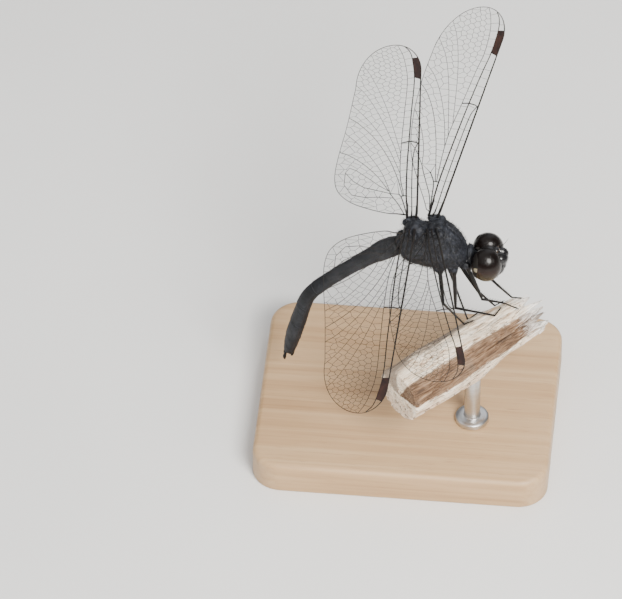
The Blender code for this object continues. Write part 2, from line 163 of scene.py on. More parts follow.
def gridSheet(name, along, across, place, rolled=True):
    # a flat grid shaped by place(u, v), both from 0 to 1; rolled closes its seam and its two ends
    pick()
    bpy.ops.mesh.primitive_grid_add(x_subdivisions=along, y_subdivisions=across, size=2)
    piece = bpy.context.object
    piece.name = name
    piece.data.name = name
    for vertex in piece.data.vertices:
        vertex.co = real(place((vertex.co.x + 1) / 2, (vertex.co.y + 1) / 2))
    if rolled:
        weld(piece)
    return piece


def rods(name, strokes, roundness=1):
    # round rods along lines; each stroke is its places and the radius at each, in millimetres
    line = bpy.data.curves.new(name, "CURVE")
    line.dimensions = "3D"
    line.bevel_depth = mm
    line.bevel_resolution = roundness
    line.use_fill_caps = True
    for places, radii in strokes:
        spline = line.splines.new("POLY")
        spline.points.add(len(places) - 1)
        for knot, place, radius in zip(spline.points, places, radii):
            knot.co = (*real(place), 1)
            knot.radius = radius
    piece = bpy.data.objects.new(name, line)
    bpy.context.scene.collection.objects.link(piece)
    pick(piece)
    bpy.ops.object.convert(target="MESH")
    return bpy.context.object


def lump(place, halfSizes, turn=(0, 0, 0), detail=4):
    # a rounded lump from a sphere, for joining into a bigger piece
    pick()
    bpy.ops.mesh.primitive_ico_sphere_add(subdivisions=detail, radius=mm, location=real(place))
    piece = bpy.context.object
    piece.rotation_euler = [math.radians(a) for a in turn]
    piece.scale = halfSizes
    bpy.ops.object.transform_apply(location=True, rotation=True, scale=True)
    return piece


def aimed(place, direction, length, width, roll=0.0):
    # turns a template that stands on the origin along +Z to grow from place in a direction
    turn = direction.to_track_quat("Z", "X").to_matrix().to_4x4()
    size = Matrix.Diagonal((width, width, length, 1))
    return Matrix.Translation(real(place)) @ turn @ Matrix.Rotation(roll, 4, "Z") @ size


def stamp(name, template, placements, roots=None):
    # one copy of a small mesh at each placement, as one mesh, and the template is used up;
    # roots are each copy's place on a map
    patch = 0.003  # a copy's size on that map
    points = [vertex.co.copy() for vertex in template.data.vertices]
    corners = [tuple(face.vertices) for face in template.data.polygons]
    places, faces = [], []
    for placement in placements:
        first = len(places)
        places.extend(placement @ point for point in points)
        faces.extend(tuple(first + corner for corner in face) for face in corners)
    mesh = bpy.data.meshes.new(name)
    mesh.from_pydata(places, [], faces)
    if roots:
        layer = mesh.uv_layers.new(name="OFBake")
        offsets = []
        for corner in (corner for face in corners for corner in face):
            turn = math.atan2(points[corner].y, points[corner].x) / (2 * math.pi)
            offsets.append((patch * turn, patch * (points[corner].z / mm - 0.5)))
        flat = [value for u, v in roots for du, dv in offsets for value in (u + du, v + dv)]
        layer.data.foreach_set("uv", flat)
    piece = bpy.data.objects.new(name, mesh)
    bpy.context.scene.collection.objects.link(piece)
    bpy.data.objects.remove(template)
    return piece


def spikeTemplate(sides=5):
    # one sharp cone, a millimetre long and a millimetre in radius, standing on the origin
    pick()
    bpy.ops.mesh.primitive_cone_add(vertices=sides, radius1=mm, radius2=0, depth=mm, location=(0, 0, mm / 2))
    bpy.ops.object.transform_apply(location=True)
    return bpy.context.object


def settle(piece, material, slot, *nodes, smooth=38):
    # place in the mesh, soft shading, finish, and the frame's own bookkeeping
    pick(piece)
    bpy.ops.object.transform_apply(location=True, rotation=True, scale=True)
    bpy.ops.object.shade_smooth_by_angle(angle=math.radians(smooth))
    piece.data.materials.clear()
    piece.data.materials.append(material)
    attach(piece, "root")
    if nodes:
        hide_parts(*nodes)
    return piece


# shader maths as plain expressions

class Value:
    def __init__(self, paint, socket):
        self.paint = paint
        self.socket = socket

    def math(self, operation, first, second=None):
        inputs = {0: first} if second is None else {0: first, 1: second}
        return self.paint.node("Math", {"operation": operation}, inputs)

    def __add__(self, other):
        return self.math("ADD", self, other)

    def __radd__(self, other):
        return self.math("ADD", other, self)

    def __sub__(self, other):
        return self.math("SUBTRACT", self, other)

    def __rsub__(self, other):
        return self.math("SUBTRACT", other, self)

    def __mul__(self, other):
        return self.math("MULTIPLY", self, other)

    def __truediv__(self, other):
        return self.math("DIVIDE", self, other)

    def __pow__(self, other):
        return self.math("POWER", self, other)

    def most(self, other):
        return self.math("MAXIMUM", self, other)

    def size(self):
        return self.math("ABSOLUTE", self)


def setStops(ramp, stops):
    while len(ramp.elements) < len(stops):
        ramp.elements.new(0.5)
    for element, (position, colour) in zip(ramp.elements, stops):
        element.position = position
        element.color = (*colour, 1)


class Paint:
    # one material; its nodes are added by node()
    def __init__(self, name, colour, roughness, **constants):
        self.material = bpy.data.materials.new(name)
        self.material.use_nodes = True
        self.tree = self.material.node_tree
        self.shader = self.tree.nodes["Principled BSDF"]
        self.coordinates = None
        self.give("Base Color", (*colour, 1))
        self.give("Roughness", roughness)
        for key, value in constants.items():
            self.give(key, value)

    def feed(self, socket, value):
        if isinstance(value, Value):
            self.tree.links.new(value.socket, socket)
        else:
            socket.default_value = value

    def give(self, socket, value):
        self.feed(self.shader.inputs[socket], value)

    def node(self, kind, settings=None, inputs=None, output=0):
        made = self.tree.nodes.new("ShaderNode" + kind)
        for key, value in (settings or {}).items():
            if key == "stops":
                setStops(made.color_ramp, value)
            else:
                setattr(made, key, value)
        for key, value in (inputs or {}).items():
            self.feed(made.inputs[key], value)
        return Value(self, made.outputs[output])

    def place(self, location=(0, 0, 0), rotation=(0, 0, 0), scale=(1, 1, 1)):
        # object coordinates in millimetres, then turned and stretched
        if self.coordinates is None:
            source = self.node("TexCoord", output=3)
            self.coordinates = self.node(
                "VectorMath", {"operation": "SCALE"}, {0: source, "Scale": 1 / mm}
            )
        inputs = {"Vector": self.coordinates, "Location": location, "Rotation": rotation, "Scale": scale}
        return self.node("Mapping", {"vector_type": "POINT"}, inputs)

    def stretch(self, vector, scale):
        return self.node("Mapping", {"vector_type": "POINT"}, {"Vector": vector, "Scale": scale})

    def noise(self, vector, scale, detail=3, roughness=0.5, distortion=0.0):
        inputs = {
            "Vector": vector,
            "Scale": scale,
            "Detail": detail,
            "Roughness": roughness,
            "Distortion": distortion,
        }
        return self.node("TexNoise", {}, inputs)

    def cells(self, vector, scale, feature, randomness):
        inputs = {"Vector": vector, "Scale": scale, "Randomness": randomness}
        return self.node("TexVoronoi", {"feature": feature}, inputs)

    def axis(self, vector, name):
        return self.node("SeparateXYZ", {}, {0: vector}, "XYZ".index(name))

    def between(self, value, low, high, toLow=0.0, toHigh=1.0):
        inputs = {"Value": value, "From Min": low, "From Max": high, "To Min": toLow, "To Max": toHigh}
        return self.node("MapRange", {"clamp": True, "interpolation_type": "SMOOTHSTEP"}, inputs)

    def ramp(self, value, *stops):
        return self.node("ValToRGB", {"stops": stops}, {0: value})

    def blend(self, mask, first, second):
        firstColour = first if isinstance(first, Value) else (*first, 1)
        secondColour = second if isinstance(second, Value) else (*second, 1)
        inputs = {0: mask, 6: firstColour, 7: secondColour}
        return self.node("Mix", {"data_type": "RGBA"}, inputs, 2)

    def colour(self, value):
        self.give("Base Color", value)

    def rough(self, value):
        self.give("Roughness", value)

    def relief(self, height, depth, strength=1.0):
        # depth in millimetres
        inputs = {"Height": height, "Distance": depth * mm, "Strength": strength}
        bump = self.node("Bump", {}, inputs)
        self.give("Normal", bump)


# stand

stand = {
    "corner": 3.0,  # roundings of the base: its upright corners, top edge and bottom edge
    "edge": 0.6,
    "foot": 0.2,
    "rodRadius": 0.8,
    "flangeRadius": 1.7,
    "flangeHeight": 0.7,
    "flangeEdge": 0.55,  # share of the flange's height that stands upright
    "fillet": (0.09, 0.45),  # out and up, where the rod leaves its flange
    "turnSteps": 5,
}


def mapleFinish():
    paint = Paint("maple", (0.72, 0.55, 0.36), 0.42)
    long = paint.place(scale=(0.06, 1.0, 1.0))
    wavy = paint.noise(long, 0.35, 3, 0.55, 0.6)
    bands = paint.noise(paint.place(location=(0, 1.7, 0), scale=(0.02, 1.6, 0.9)), 0.7, 4, 0.6, 0.8)
    pores = paint.noise(paint.place(scale=(0.35, 9.0, 9.0)), 1.0, 2, 0.6)
    grain = wavy * 0.5 + bands * 0.5
    colour = paint.ramp(
        grain,
        (0.32, (0.36, 0.205, 0.095)),
        (0.46, (0.47, 0.295, 0.150)),
        (0.60, (0.54, 0.360, 0.200)),
        (0.75, (0.43, 0.260, 0.128)),
    )
    dark = paint.between(pores, 0.60, 0.74)
    paint.colour(paint.blend(dark * 0.45, colour, (0.28, 0.15, 0.07)))
    paint.rough(0.36 + pores * 0.16)
    paint.relief(pores, 0.03, 0.35)
    return paint.material


def steelFinish():
    paint = Paint("brushedSteel", (0.58, 0.58, 0.57), 0.28, Metallic=1.0)
    rings = paint.noise(paint.place(scale=(0.4, 0.4, 14.0)), 1.0, 3, 0.7)
    paint.colour(paint.ramp(rings, (0.3, (0.50, 0.50, 0.50)), (0.7, (0.66, 0.66, 0.65))))
    paint.rough(0.22 + rings * 0.18)
    paint.relief(rings, 0.01, 0.4)
    return paint.material


def bevelEdges(piece, wanted, width, segments):
    # rounds the edges whose two ends pass the test
    pick(piece)
    bpy.ops.object.mode_set(mode="EDIT")
    bpy.ops.mesh.select_all(action="DESELECT")
    bpy.ops.mesh.select_mode(type="EDGE")
    bpy.ops.object.mode_set(mode="OBJECT")
    points = piece.data.vertices
    for edge in piece.data.edges:
        edge.select = wanted(points[edge.vertices[0]].co, points[edge.vertices[1]].co)
    bpy.ops.object.mode_set(mode="EDIT")
    bpy.ops.mesh.bevel(offset=width * mm, segments=segments, affect="EDGES")
    bpy.ops.object.mode_set(mode="OBJECT")


def makeBase():
    low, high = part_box("stand_base")
    pick()
    bpy.ops.mesh.primitive_cube_add(size=1, location=(low + high) / 2)
    base = bpy.context.object
    base.name = "standBase"
    base.scale = high - low
    bpy.ops.object.transform_apply(location=True, rotation=False, scale=True)
    slack = 1e-6
    bevelEdges(base, lambda a, b: math.hypot(a.x - b.x, a.y - b.y) < slack, stand["corner"], 14)
    bevelEdges(base, lambda a, b: min(a.z, b.z) > high.z - slack, stand["edge"], 6)
    bevelEdges(base, lambda a, b: max(a.z, b.z) < low.z + slack, stand["foot"], 3)
    settle(base, mapleFinish(), "stand_wood", "stand_base", smooth=30)


def turned(name, centre, profile, sides=48):
    # a turned piece: a disc, drawn up ring by ring through (radius, height) in millimetres
    firstRadius, firstHeight = profile[0]
    pick()
    bpy.ops.mesh.primitive_circle_add(
        vertices=sides, radius=firstRadius * mm, fill_type="NGON",
        location=(centre.x, centre.y, firstHeight * mm),
    )
    piece = bpy.context.object
    piece.name = name
    bpy.ops.object.transform_apply(location=True)
    bpy.ops.object.mode_set(mode="EDIT")
    bpy.ops.mesh.select_all(action="SELECT")
    for (radius, height), (nextRadius, nextHeight) in zip(profile, profile[1:]):
        rise = (0, 0, (nextHeight - height) * mm)
        bpy.ops.mesh.extrude_region_move(TRANSFORM_OT_translate={"value": rise})
        ratio = nextRadius / radius
        pivot = (centre.x, centre.y, nextHeight * mm)
        bpy.ops.transform.resize(value=(ratio, ratio, 1), center_override=pivot)
    bpy.ops.mesh.select_all(action="SELECT")
    bpy.ops.mesh.normals_make_consistent(inside=False)
    bpy.ops.object.mode_set(mode="OBJECT")
    return piece


def makeRod():
    low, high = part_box("stand_rod")
    floor, top = low.z / mm, high.z / mm
    wide, slim, steps = stand["flangeRadius"], stand["rodRadius"], stand["turnSteps"]
    shoulder = floor + stand["flangeHeight"] * stand["flangeEdge"]
    neck = floor + stand["flangeHeight"]
    filletOut, filletUp = stand["fillet"]
    turns = [math.pi / 2 * k / steps for k in range(1, steps + 1)]
    profile = [(wide - 0.1, floor), (wide, floor + 0.08), (wide, shoulder)]
    for turn in turns:
        inward = (wide - slim) * (1 - math.cos(turn)) * 0.9
        profile.append((wide - inward, shoulder + (neck - shoulder) * math.sin(turn)))
    for turn in turns:
        profile.append((slim + filletOut * (1 - math.sin(turn)), neck + filletUp * (1 - math.cos(turn))))
    profile += [(slim, top - 0.12), (slim - 0.03, top - 0.05), (slim - 0.12, top)]
    rod = turned("standRod", (low + high) / 2, profile)
    settle(rod, steelFinish(), "stand_steel", "stand_rod", smooth=30)


# perch

perch = {
    "at": Vector((7.5, 0.05, -11.6)),
    "heading": 47.0,
    "cutEnd": -14.7,
    "splitEnd": 2.5,
    "radius": ((-14.7, 2.9), (-9.0, 2.98), (-5.0, 2.9), (-1.0, 2.55), (2.5, 2.3)),
    "groove": 0.32,
    "grooveAt": -58.0,
    "splitSlant": 1.1,
    "splitSlantAt": -110.0,
    "splinter": 0.9,  # how far the teeth of the broken end stand past the break
    "teeth": 13,
    "notch": 1.7,  # how far the gaps between them go back
    "slivers": 90,
    "rounding": 0.12,  # of the cut end's edge
    "lip": 0.16,  # how much thinner the teeth are at their tips
    "around": 220,
    "along": 190,
    "inset": 0.03,  # the skin's fine relief stays under the plain solid
}


def perchAxes():
    heading = math.radians(perch["heading"])
    ahead = Vector((math.cos(heading), math.sin(heading), 0))
    return ahead, up.cross(ahead)


def perchGroove(angle):
    off = (angle - math.radians(perch["grooveAt"]) + math.pi) % (2 * math.pi) - math.pi
    return bell(off, 0.38)


def perchRadius(along, angle):
    # the plain surface, before its fine relief
    radius = readTable(perch["radius"], along)[0]
    ripple = 0.035 * math.sin(3 * angle + 0.55 * along) + 0.025 * math.sin(5 * angle - 0.9 * along + 1.0)
    return radius * (1 + ripple) - perch["groove"] * perchGroove(angle)


def perchPoint(along, angle, clear=0.0):
    ahead, side = perchAxes()
    out = side * math.sin(angle) + up * math.cos(angle)
    return perch["at"] + ahead * along + out * (perchRadius(along, angle) + clear)


def splinterReach(angle):
    # the teeth of the broken end round the stick: 0 in the gaps, up to 1 at the tips
    c, s = math.cos(angle), math.sin(angle)
    turn = angle / (2 * math.pi) * perch["teeth"] + 0.55 * noise.noise(Vector((c * 1.6, s * 1.6, 4)))
    tooth, share = math.floor(turn), turn % 1
    lean = 0.5 + 0.5 * noise.noise(Vector((tooth % perch["teeth"] * 3.7, 1.3, 8.2)))
    slope = share / lean if share < lean else (1 - share) / (1 - lean)
    tall = 0.86 + 0.55 * noise.noise(Vector((tooth % perch["teeth"] * 2.3, 5.1, 3.9)))
    fibres = 0.22 * noise.noise(Vector((c * 17, s * 17, 9)))
    return min(max((slope ** 0.75 + fibres) * tall, 0), 1)


def perchBreak(angle):
    slant = 0.5 + 0.5 * math.cos(angle - math.radians(perch["splitSlantAt"]))
    gap = perch["notch"] * (1 - splinterReach(angle))
    return perch["splitEnd"] + perch["splitSlant"] * slant - gap


def perchRelief(along, angle):
    # fibres, weather cracks and the frayed, split near face, all at or below the plain surface
    c, s = math.cos(angle), math.sin(angle)
    broad = noise.noise(Vector((c * 2.2, s * 2.2, along * 0.16)))
    fibres = noise.noise(Vector((c * 9, s * 9, along * 0.28 + 7)))
    fine = noise.noise(Vector((c * 24, s * 24, along * 0.5 + 3)))
    crack = noise.noise(Vector((c * 3.4, s * 3.4, along * 0.1 + 11)))
    split = perchGroove(angle)
    under = smoothStep(0.2, -0.6, c)
    pits = noise.noise(Vector((c * 6, s * 6, along * 0.9 + 5)))
    depth = perch["inset"] + 0.09 + 0.09 * broad + (0.07 + 0.12 * split + 0.05 * under) * fibres + 0.03 * fine
    depth += 0.26 * bell(crack, 0.045) * smoothStep(-0.1, 0.25, broad + 0.15)
    depth += 0.16 * under * smoothStep(0.12, 0.42, pits)
    return -max(depth, 0.01)


def perchPlace(u, v):
    # the cut end's face, the long surface, then the ragged rim and the hollow inside it
    faceShare, rimShare = 0.07, 0.90
    angle = v * 2 * math.pi
    ahead, side = perchAxes()
    out = side * math.sin(angle) + up * math.cos(angle)
    if u < faceShare:
        t = u / faceShare
        cut = perch["cutEnd"]
        radius = perchRadius(cut, angle) + perchRelief(cut, angle) - perch["rounding"]
        rings = 0.02 * math.sin(radius * t * 14 + noise.noise(Vector((out.x, out.y, t)) * 2) * 2)
        return perch["at"] + ahead * (cut + 0.03 + rings) + out * radius * t
    if u < rimShare:
        t = (u - faceShare) / (rimShare - faceShare)
        start = perch["cutEnd"] + perch["rounding"]
        along = start + (perchBreak(angle) - start) * t
        frayed = smoothStep(0.86, 1.0, t) * 0.12 * (1 - splinterReach(angle))
        return perchPoint(along, angle, perchRelief(along, angle) - frayed)
    along, radius = brokenEnd((u - rimShare) / (1 - rimShare), angle, out)
    return perch["at"] + ahead * along + out * radius


def brokenEnd(t, angle, out):
    # out along the teeth, then down inside them to the stick's heart, as (along, radius)
    toothShare = 0.3
    reach = splinterReach(angle)
    tip = perch["splinter"] * reach
    rim = perchBreak(angle)
    radius = perchRadius(rim, angle) + perchRelief(rim, angle) - perch["rounding"]
    if t < toothShare:
        return rim + tip * (t / toothShare), radius - perch["lip"] * reach * t / toothShare
    inward = (t - toothShare) / (1 - toothShare)
    lip = rim + tip * max(0.0, 1 - inward * 4)
    heart = perch["splitEnd"] + 0.5 * perch["splitSlant"] - perch["notch"]
    rough = 0.30 * noise.noise(Vector((out.y * 3, out.z * 3, inward)) * 3) * math.sin(inward * math.pi)
    return lip + (heart - lip) * smoothStep(0, 0.8, inward) + rough, (radius - perch["lip"]) * (1 - inward)


def driftwoodFinish():
    paint = Paint("driftwood", (0.66, 0.56, 0.47), 0.82)
    # x along the stick, y to its left and z up, from the stick's own axis
    heading = math.radians(perch["heading"])
    shift = Matrix.Rotation(-heading, 3, "Z") @ -(middle + perch["at"])
    stick = paint.place(location=shift, rotation=(0, 0, -heading))
    high = paint.axis(stick, "Z")
    side = paint.axis(stick, "Y")
    along = paint.axis(stick, "X")
    stretched = paint.stretch(stick, (0.10, 1, 1))
    streaks = paint.noise(stretched, 2.2, 5, 0.65, 0.4)
    threads = paint.noise(stretched, 9.0, 3, 0.6, 0.2)
    blotches = paint.noise(stick, 0.55, 3, 0.55)
    pale = paint.ramp(
        streaks * 0.6 + threads * 0.4,
        (0.32, (0.22, 0.130, 0.075)),
        (0.41, (0.52, 0.360, 0.235)),
        (0.49, (0.84, 0.690, 0.520)),
        (0.62, (0.95, 0.860, 0.730)),
    )
    brown = paint.ramp(
        threads * 0.55 + streaks * 0.45,
        (0.36, (0.040, 0.020, 0.010)),
        (0.47, (0.135, 0.072, 0.036)),
        (0.58, (0.250, 0.150, 0.085)),
        (0.70, (0.400, 0.270, 0.170)),
    )
    # the split face runs along the near side: its middle lies at this angle round from the top
    facing = math.radians(perch["grooveAt"])
    radius = (high * high + side * side) ** 0.5
    towards = (high * math.cos(facing) + side * math.sin(facing)) / radius
    wander = (blotches - 0.5) * 0.10 + (threads - 0.5) * 0.15
    split = paint.between(towards + wander, 0.855, 0.895)
    low = paint.between(high + (blotches - 0.5) * 1.6, 0.2, -1.6)
    dark = paint.between(paint.noise(stick, 2.6, 3, 0.6), 0.57, 0.66)
    colour = paint.blend(low * 0.5, pale, (0.50, 0.33, 0.22))
    colour = paint.blend(low * dark * 0.9, colour, (0.045, 0.026, 0.016))
    colour = paint.blend(split, colour, brown)
    bleached = paint.between(along + (threads - 0.5) * 6.0, -0.2, 3.0)
    colour = paint.blend(bleached * (0.42 + streaks * 0.8), colour, (0.95, 0.91, 0.86))
    # painted shade: the hollow inside the broken end, seen between its teeth, is darkened as if it lay in
    # shade
    hollow = paint.between(radius, 2.05, 1.60) * paint.between(along, -0.6, 0.6)
    colour = paint.blend(hollow * 0.75, colour, (0.16, 0.10, 0.065))
    # weathered bark left along the far shoulder
    barkFacing = math.radians(48)
    shoulder = (high * math.cos(barkFacing) + side * math.sin(barkFacing)) / radius
    bark = paint.between(shoulder + (blotches - 0.5) * 0.5, 0.80, 0.95) * paint.between(along, -2.5, -5.0)
    colour = paint.blend(bark * 0.8, colour, (0.19, 0.130, 0.090))
    grey = paint.between(blotches, 0.50, 0.72)
    colour = paint.blend(grey * 0.16, colour, (0.42, 0.36, 0.29))
    # weather cracks: thin dark lines along the grain, closer together towards the broken end; their dark
    # colour is partly the cracks' own and partly painted shade inside them
    grain = paint.stretch(stick, (0.055, 1, 1))
    wide = (paint.noise(grain, 1.7, 3, 0.55, 0.5) - 0.5).size()
    thin = (paint.noise(grain, 4.6, 3, 0.55, 0.4) - 0.5).size()
    worn = paint.between(blotches + along * 0.02, 0.36, 0.60)
    crack = paint.between(wide, 0.012, 0.003).most(paint.between(thin, 0.013, 0.003) * worn)
    # painted shade: the crack lines are darkened as if shaded inside, over their own darker colour
    colour = paint.blend(crack * 0.82, colour, (0.060, 0.034, 0.020))
    paint.colour(colour)
    paint.rough(0.72 + streaks * 0.22)
    paint.relief(threads * 0.45 + streaks * 0.25 + (1 - crack) * 0.30, 0.12, 0.9)
    return paint.material


def makeSplinters():
    # loose slivers round the broken end, each a long thin wedge lying with the grain
    ahead, side = perchAxes()
    placements = []
    for _ in range(perch["slivers"]):
        angle = chance.uniform(0, 2 * math.pi)
        out = side * math.sin(angle) + up * math.cos(angle)
        room = perch["splinter"] * chance.uniform(0.35, 0.95)
        length = chance.uniform(0.8, 1.9)
        foot = perchPoint(perchBreak(angle) + room - length, angle, -chance.uniform(0.10, 0.5))
        drift = side * chance.uniform(-0.05, 0.05) + up * chance.uniform(-0.05, 0.05)
        direction = (ahead - out * chance.uniform(0.0, 0.10) + drift).normalized()
        placements.append(aimed(foot, direction, length, chance.uniform(0.05, 0.13)))
    return stamp("perchSplinters", spikeTemplate(), placements)


def makePerch():
    stick = gridSheet("perchStick", perch["along"], perch["around"], perchPlace)
    wood = driftwoodFinish()
    settle(stick, wood, "driftwood", "perch", smooth=50)
    settle(makeSplinters(), wood, "driftwood")


makeBase()
makeRod()
say("stand done")
makePerch()
say("perch done")


# wings

# places on a wing are (outwards along the front line, back from it), in millimetres;
# a vein is its bulge (1 up, -1 down), its radii at root and tip, and its path;
# strokes are the short veins between them, with their radius, and patches the cells they close
foreWing = {
    "name": "wing_fore_",
    "root": (0.30, 1.25, 2.45),
    "length": 26.0,
    "sweep": {1: 11.8, -1: 11.8},
    "lift": 10.8,
    "tip": 2.5,
    "frontTurn": 0.86,
    "rearTurn": 0.74,
    "rearEdge": ((0.0, 1.3), (0.05, 2.0), (0.12, 3.1), (0.25, 4.9), (0.42, 6.0), (0.60, 6.45), (0.74, 6.45)),
    "start": 0.20,
    "stigma": (20.4, 23.4),
    "known": {},  # the lines found at each place so far
    "veins": {
        "subcosta": (-1, (0.055, 0.04), (
            (0, 0.50), (4, 0.60), (9, 0.60), (12.6, 0.48), (13.5, 0.22), (13.9, 0))),
        "radius": (1, (0.085, 0.045), (
            (0, 0.95), (3.6, 1.15), (9, 1.12), (13.8, 1.0), (18, 0.80), (20.4, 0.64), (23.4, 0.74),
            (24.8, 1.05), (25.6, 1.5))),
        "firstSector": (-1, (0.045, 0.028), (
            (3.7, 1.40), (7, 1.80), (10, 1.93), (13.8, 1.72), (18, 1.50), (20.4, 1.32), (23.4, 1.58),
            (25.2, 2.1), (25.9, 2.45))),
        "secondSector": (-1, (0.035, 0.022), (
            (11.2, 1.93), (14, 2.5), (17, 3.15), (20, 4.0), (22.4, 4.95), (23.9, 5.9))),
        "betweenSector": (1, (0.035, 0.022), ((9.6, 1.95), (12.5, 2.75), (16, 3.8), (19, 5.0), (21.5, 6.6))),
        "thirdSector": (-1, (0.035, 0.024), ((8.2, 1.90), (11, 2.75), (14, 4.0), (16.4, 5.4), (17.7, 6.7))),
        "media": (1, (0.045, 0.025), (
            (3.75, 1.55), (6, 2.15), (9, 3.05), (12, 4.25), (14.2, 5.6), (15.3, 6.7))),
        "rearMedia": (-1, (0.035, 0.024), ((5.45, 3.42), (7.5, 3.9), (9.6, 4.75), (11.4, 5.8), (12.2, 6.6))),
        "cubitus": (1, (0.04, 0.026), ((5.43, 3.48), (6.5, 4.2), (7.6, 5.2), (8.0, 5.9))),
        "stem": (-1, (0.06, 0.045), ((0, 1.02), (2, 1.38), (3.75, 1.74), (4.75, 2.35))),
        "anal": (-1, (0.05, 0.035), ((0.3, 1.12), (2.0, 1.65), (3.6, 2.50), (4.6, 3.05), (5.43, 3.45))),
    },
    "strokes": (
        (((3.65, 1.12), (3.72, 1.42), (3.75, 1.74)), 0.05),
        (((4.75, 2.35), (5.65, 2.08), (5.45, 3.45), (4.75, 2.35)), 0.038),
        (((4.75, 2.35), (4.35, 2.93)), 0.03),
        (((13.55, -0.02), (13.8, 0.30), (13.82, 1.0), (13.75, 1.74)), 0.06),
    ),
    "patches": (
        ("triangle", ((4.75, 2.35), (5.65, 2.08), (5.45, 3.45))),
        ("frontTriangle", ((3.75, 1.60), (5.65, 2.05), (4.75, 2.35))),
        ("innerTriangle", ((4.75, 2.35), (5.45, 3.45), (4.35, 2.95))),
    ),
}

hindWing = {
    "name": "wing_hind_",
    "root": (-1.95, 1.30, 2.10),
    "length": 25.2,
    "sweep": {1: -4.0, -1: -2.0},
    "lift": -0.9,
    "tip": 2.5,
    "frontTurn": 0.85,
    "rearTurn": 0.74,
    "rearEdge": ((0.0, 2.5), (0.02, 4.3), (0.06, 6.5), (0.12, 7.9), (0.20, 8.35), (0.32, 8.1), (0.50, 7.35),
                 (0.74, 6.55)),
    "start": 0.12,
    "stigma": (20.2, 23.2),
    "known": {},  # the lines found at each place so far
    "veins": {
        "subcosta": (-1, (0.055, 0.04), (
            (0, 0.50), (4, 0.60), (8, 0.58), (9.6, 0.42), (10.4, 0.18), (10.7, 0))),
        "radius": (1, (0.085, 0.045), (
            (0, 0.95), (2.6, 1.12), (7, 1.12), (10.6, 1.0), (15, 0.85), (20.1, 0.64), (23.2, 0.93),
            (24.3, 1.25), (24.9, 1.7))),
        "firstSector": (-1, (0.045, 0.028), (
            (2.65, 1.38), (6, 1.80), (10.6, 1.75), (15, 1.55), (20.1, 1.35), (23.2, 1.75), (24.6, 2.2),
            (25.1, 2.45))),
        "secondSector": (-1, (0.035, 0.022), (
            (9.0, 1.80), (12, 2.45), (15.5, 3.3), (18.6, 4.3), (21.0, 5.3), (22.5, 6.2))),
        "betweenSector": (1, (0.035, 0.022), (
            (7.8, 1.85), (11, 2.85), (14.5, 4.1), (17.5, 5.5), (19.6, 7.0))),
        "thirdSector": (-1, (0.035, 0.024), (
            (6.2, 1.85), (9.5, 2.95), (12.5, 4.35), (15.0, 6.0), (16.4, 7.3))),
        "media": (1, (0.045, 0.025), (
            (2.75, 1.50), (5, 2.02), (8, 3.0), (11, 4.5), (13.2, 6.2), (14.4, 7.5))),
        "rearMedia": (-1, (0.035, 0.024), ((3.15, 2.76), (6, 3.6), (8.6, 4.95), (10.8, 6.5), (12.2, 7.9))),
        "cubitus": (1, (0.04, 0.026), ((3.17, 2.80), (5, 3.85), (7.0, 5.4), (8.4, 7.0), (9.2, 8.4))),
        "stem": (-1, (0.06, 0.045), ((0, 1.02), (1.5, 1.32), (2.75, 1.66), (3.05, 1.85))),
        "anal": (-1, (0.05, 0.035), ((0.1, 1.25), (1.6, 1.9), (2.5, 2.4), (3.15, 2.78))),
    },
    "strokes": (
        (((2.6, 1.10), (2.7, 1.40), (2.75, 1.66)), 0.05),
        (((3.05, 1.85), (4.9, 2.10), (3.15, 2.75), (3.05, 1.85)), 0.038),
        (((10.35, -0.02), (10.6, 0.30), (10.62, 1.0), (10.55, 1.75)), 0.06),
        (((2.5, 2.4), (2.55, 3.8), (2.45, 5.3), (2.75, 6.6), (4.2, 7.4), (5.9, 7.3), (6.6, 6.9), (6.2, 6.2),
          (5.1, 5.0), (4.1, 3.9), (3.3, 2.9)), 0.034),
        (((3.15, 2.8), (3.35, 4.0), (3.8, 5.4), (4.7, 6.5), (5.9, 7.3)), 0.036),
    ),
    "patches": (
        ("triangle", ((3.05, 1.85), (4.9, 2.10), (3.15, 2.75))),
        ("frontTriangle", ((2.75, 1.52), (4.9, 2.02), (3.05, 1.85))),
        ("innerLoop", ((2.5, 2.4), (2.55, 3.8), (2.45, 5.3), (2.75, 6.6), (4.2, 7.4), (5.9, 7.3), (4.7, 6.5),
                       (3.8, 5.4), (3.35, 4.0), (3.15, 2.8))),
        ("outerLoop", ((3.15, 2.8), (3.35, 4.0), (3.8, 5.4), (4.7, 6.5), (5.9, 7.3), (6.6, 6.9), (6.2, 6.2),
                       (5.1, 5.0), (4.1, 3.9), (3.3, 2.9))),
    ),
}

wingBuild = {
    "bulge": 0.15,  # height of the folds at the root, in millimetres
    "membrane": 0.02,
    "across": 44,
    "along": 130,
    "cellLong": 0.78,
    "cellTall": 0.66,
    "frontCell": {("costa", "subcosta"): 1.32, ("subcosta", "radius"): 1.32, ("costa", "radius"): 1.15,
                  ("radius", "firstSector"): 0.98, ("radius", "stem"): 1.5, ("radius", "media"): 0.9},
    "reach": 0.9985,  # the outline's share of the solid's length
    "walk": 0.05,  # steps taken along a wing when its strips are named and its cells are sown
    "scatter": 0.07,
    "loopCell": 0.72,
    "wallRadius": 0.022,
    "cordRadii": (0.042, 0.05, 0.06, 0.09),  # the rear edge's cord, in to the root
    "braceRadius": 0.05,
    "spotThick": 0.11,
    "costaRadius": ((0, 0.105), (0.5, 0.085), (0.90, 0.060), (1, 0.036)),
    "rimRadius": ((0, 0.040), (0.5, 0.030), (1, 0.036)),
}


def wingEdges(wing, s):
    # front and rear edge at a distance out along the wing
    share = s / wing["length"]
    front = 0.0
    if share > wing["frontTurn"]:
        t = (share - wing["frontTurn"]) / (1 - wing["frontTurn"])
        front = wing["tip"] * (1 - roundedEnd(t))
    rear = readTable(wing["rearEdge"], share)[0]
    if share > wing["rearTurn"]:
        t = (share - wing["rearTurn"]) / (1 - wing["rearTurn"])
        rear = wing["tip"] + (wing["rearEdge"][-1][1] - wing["tip"]) * roundedEnd(t)
    return front, rear


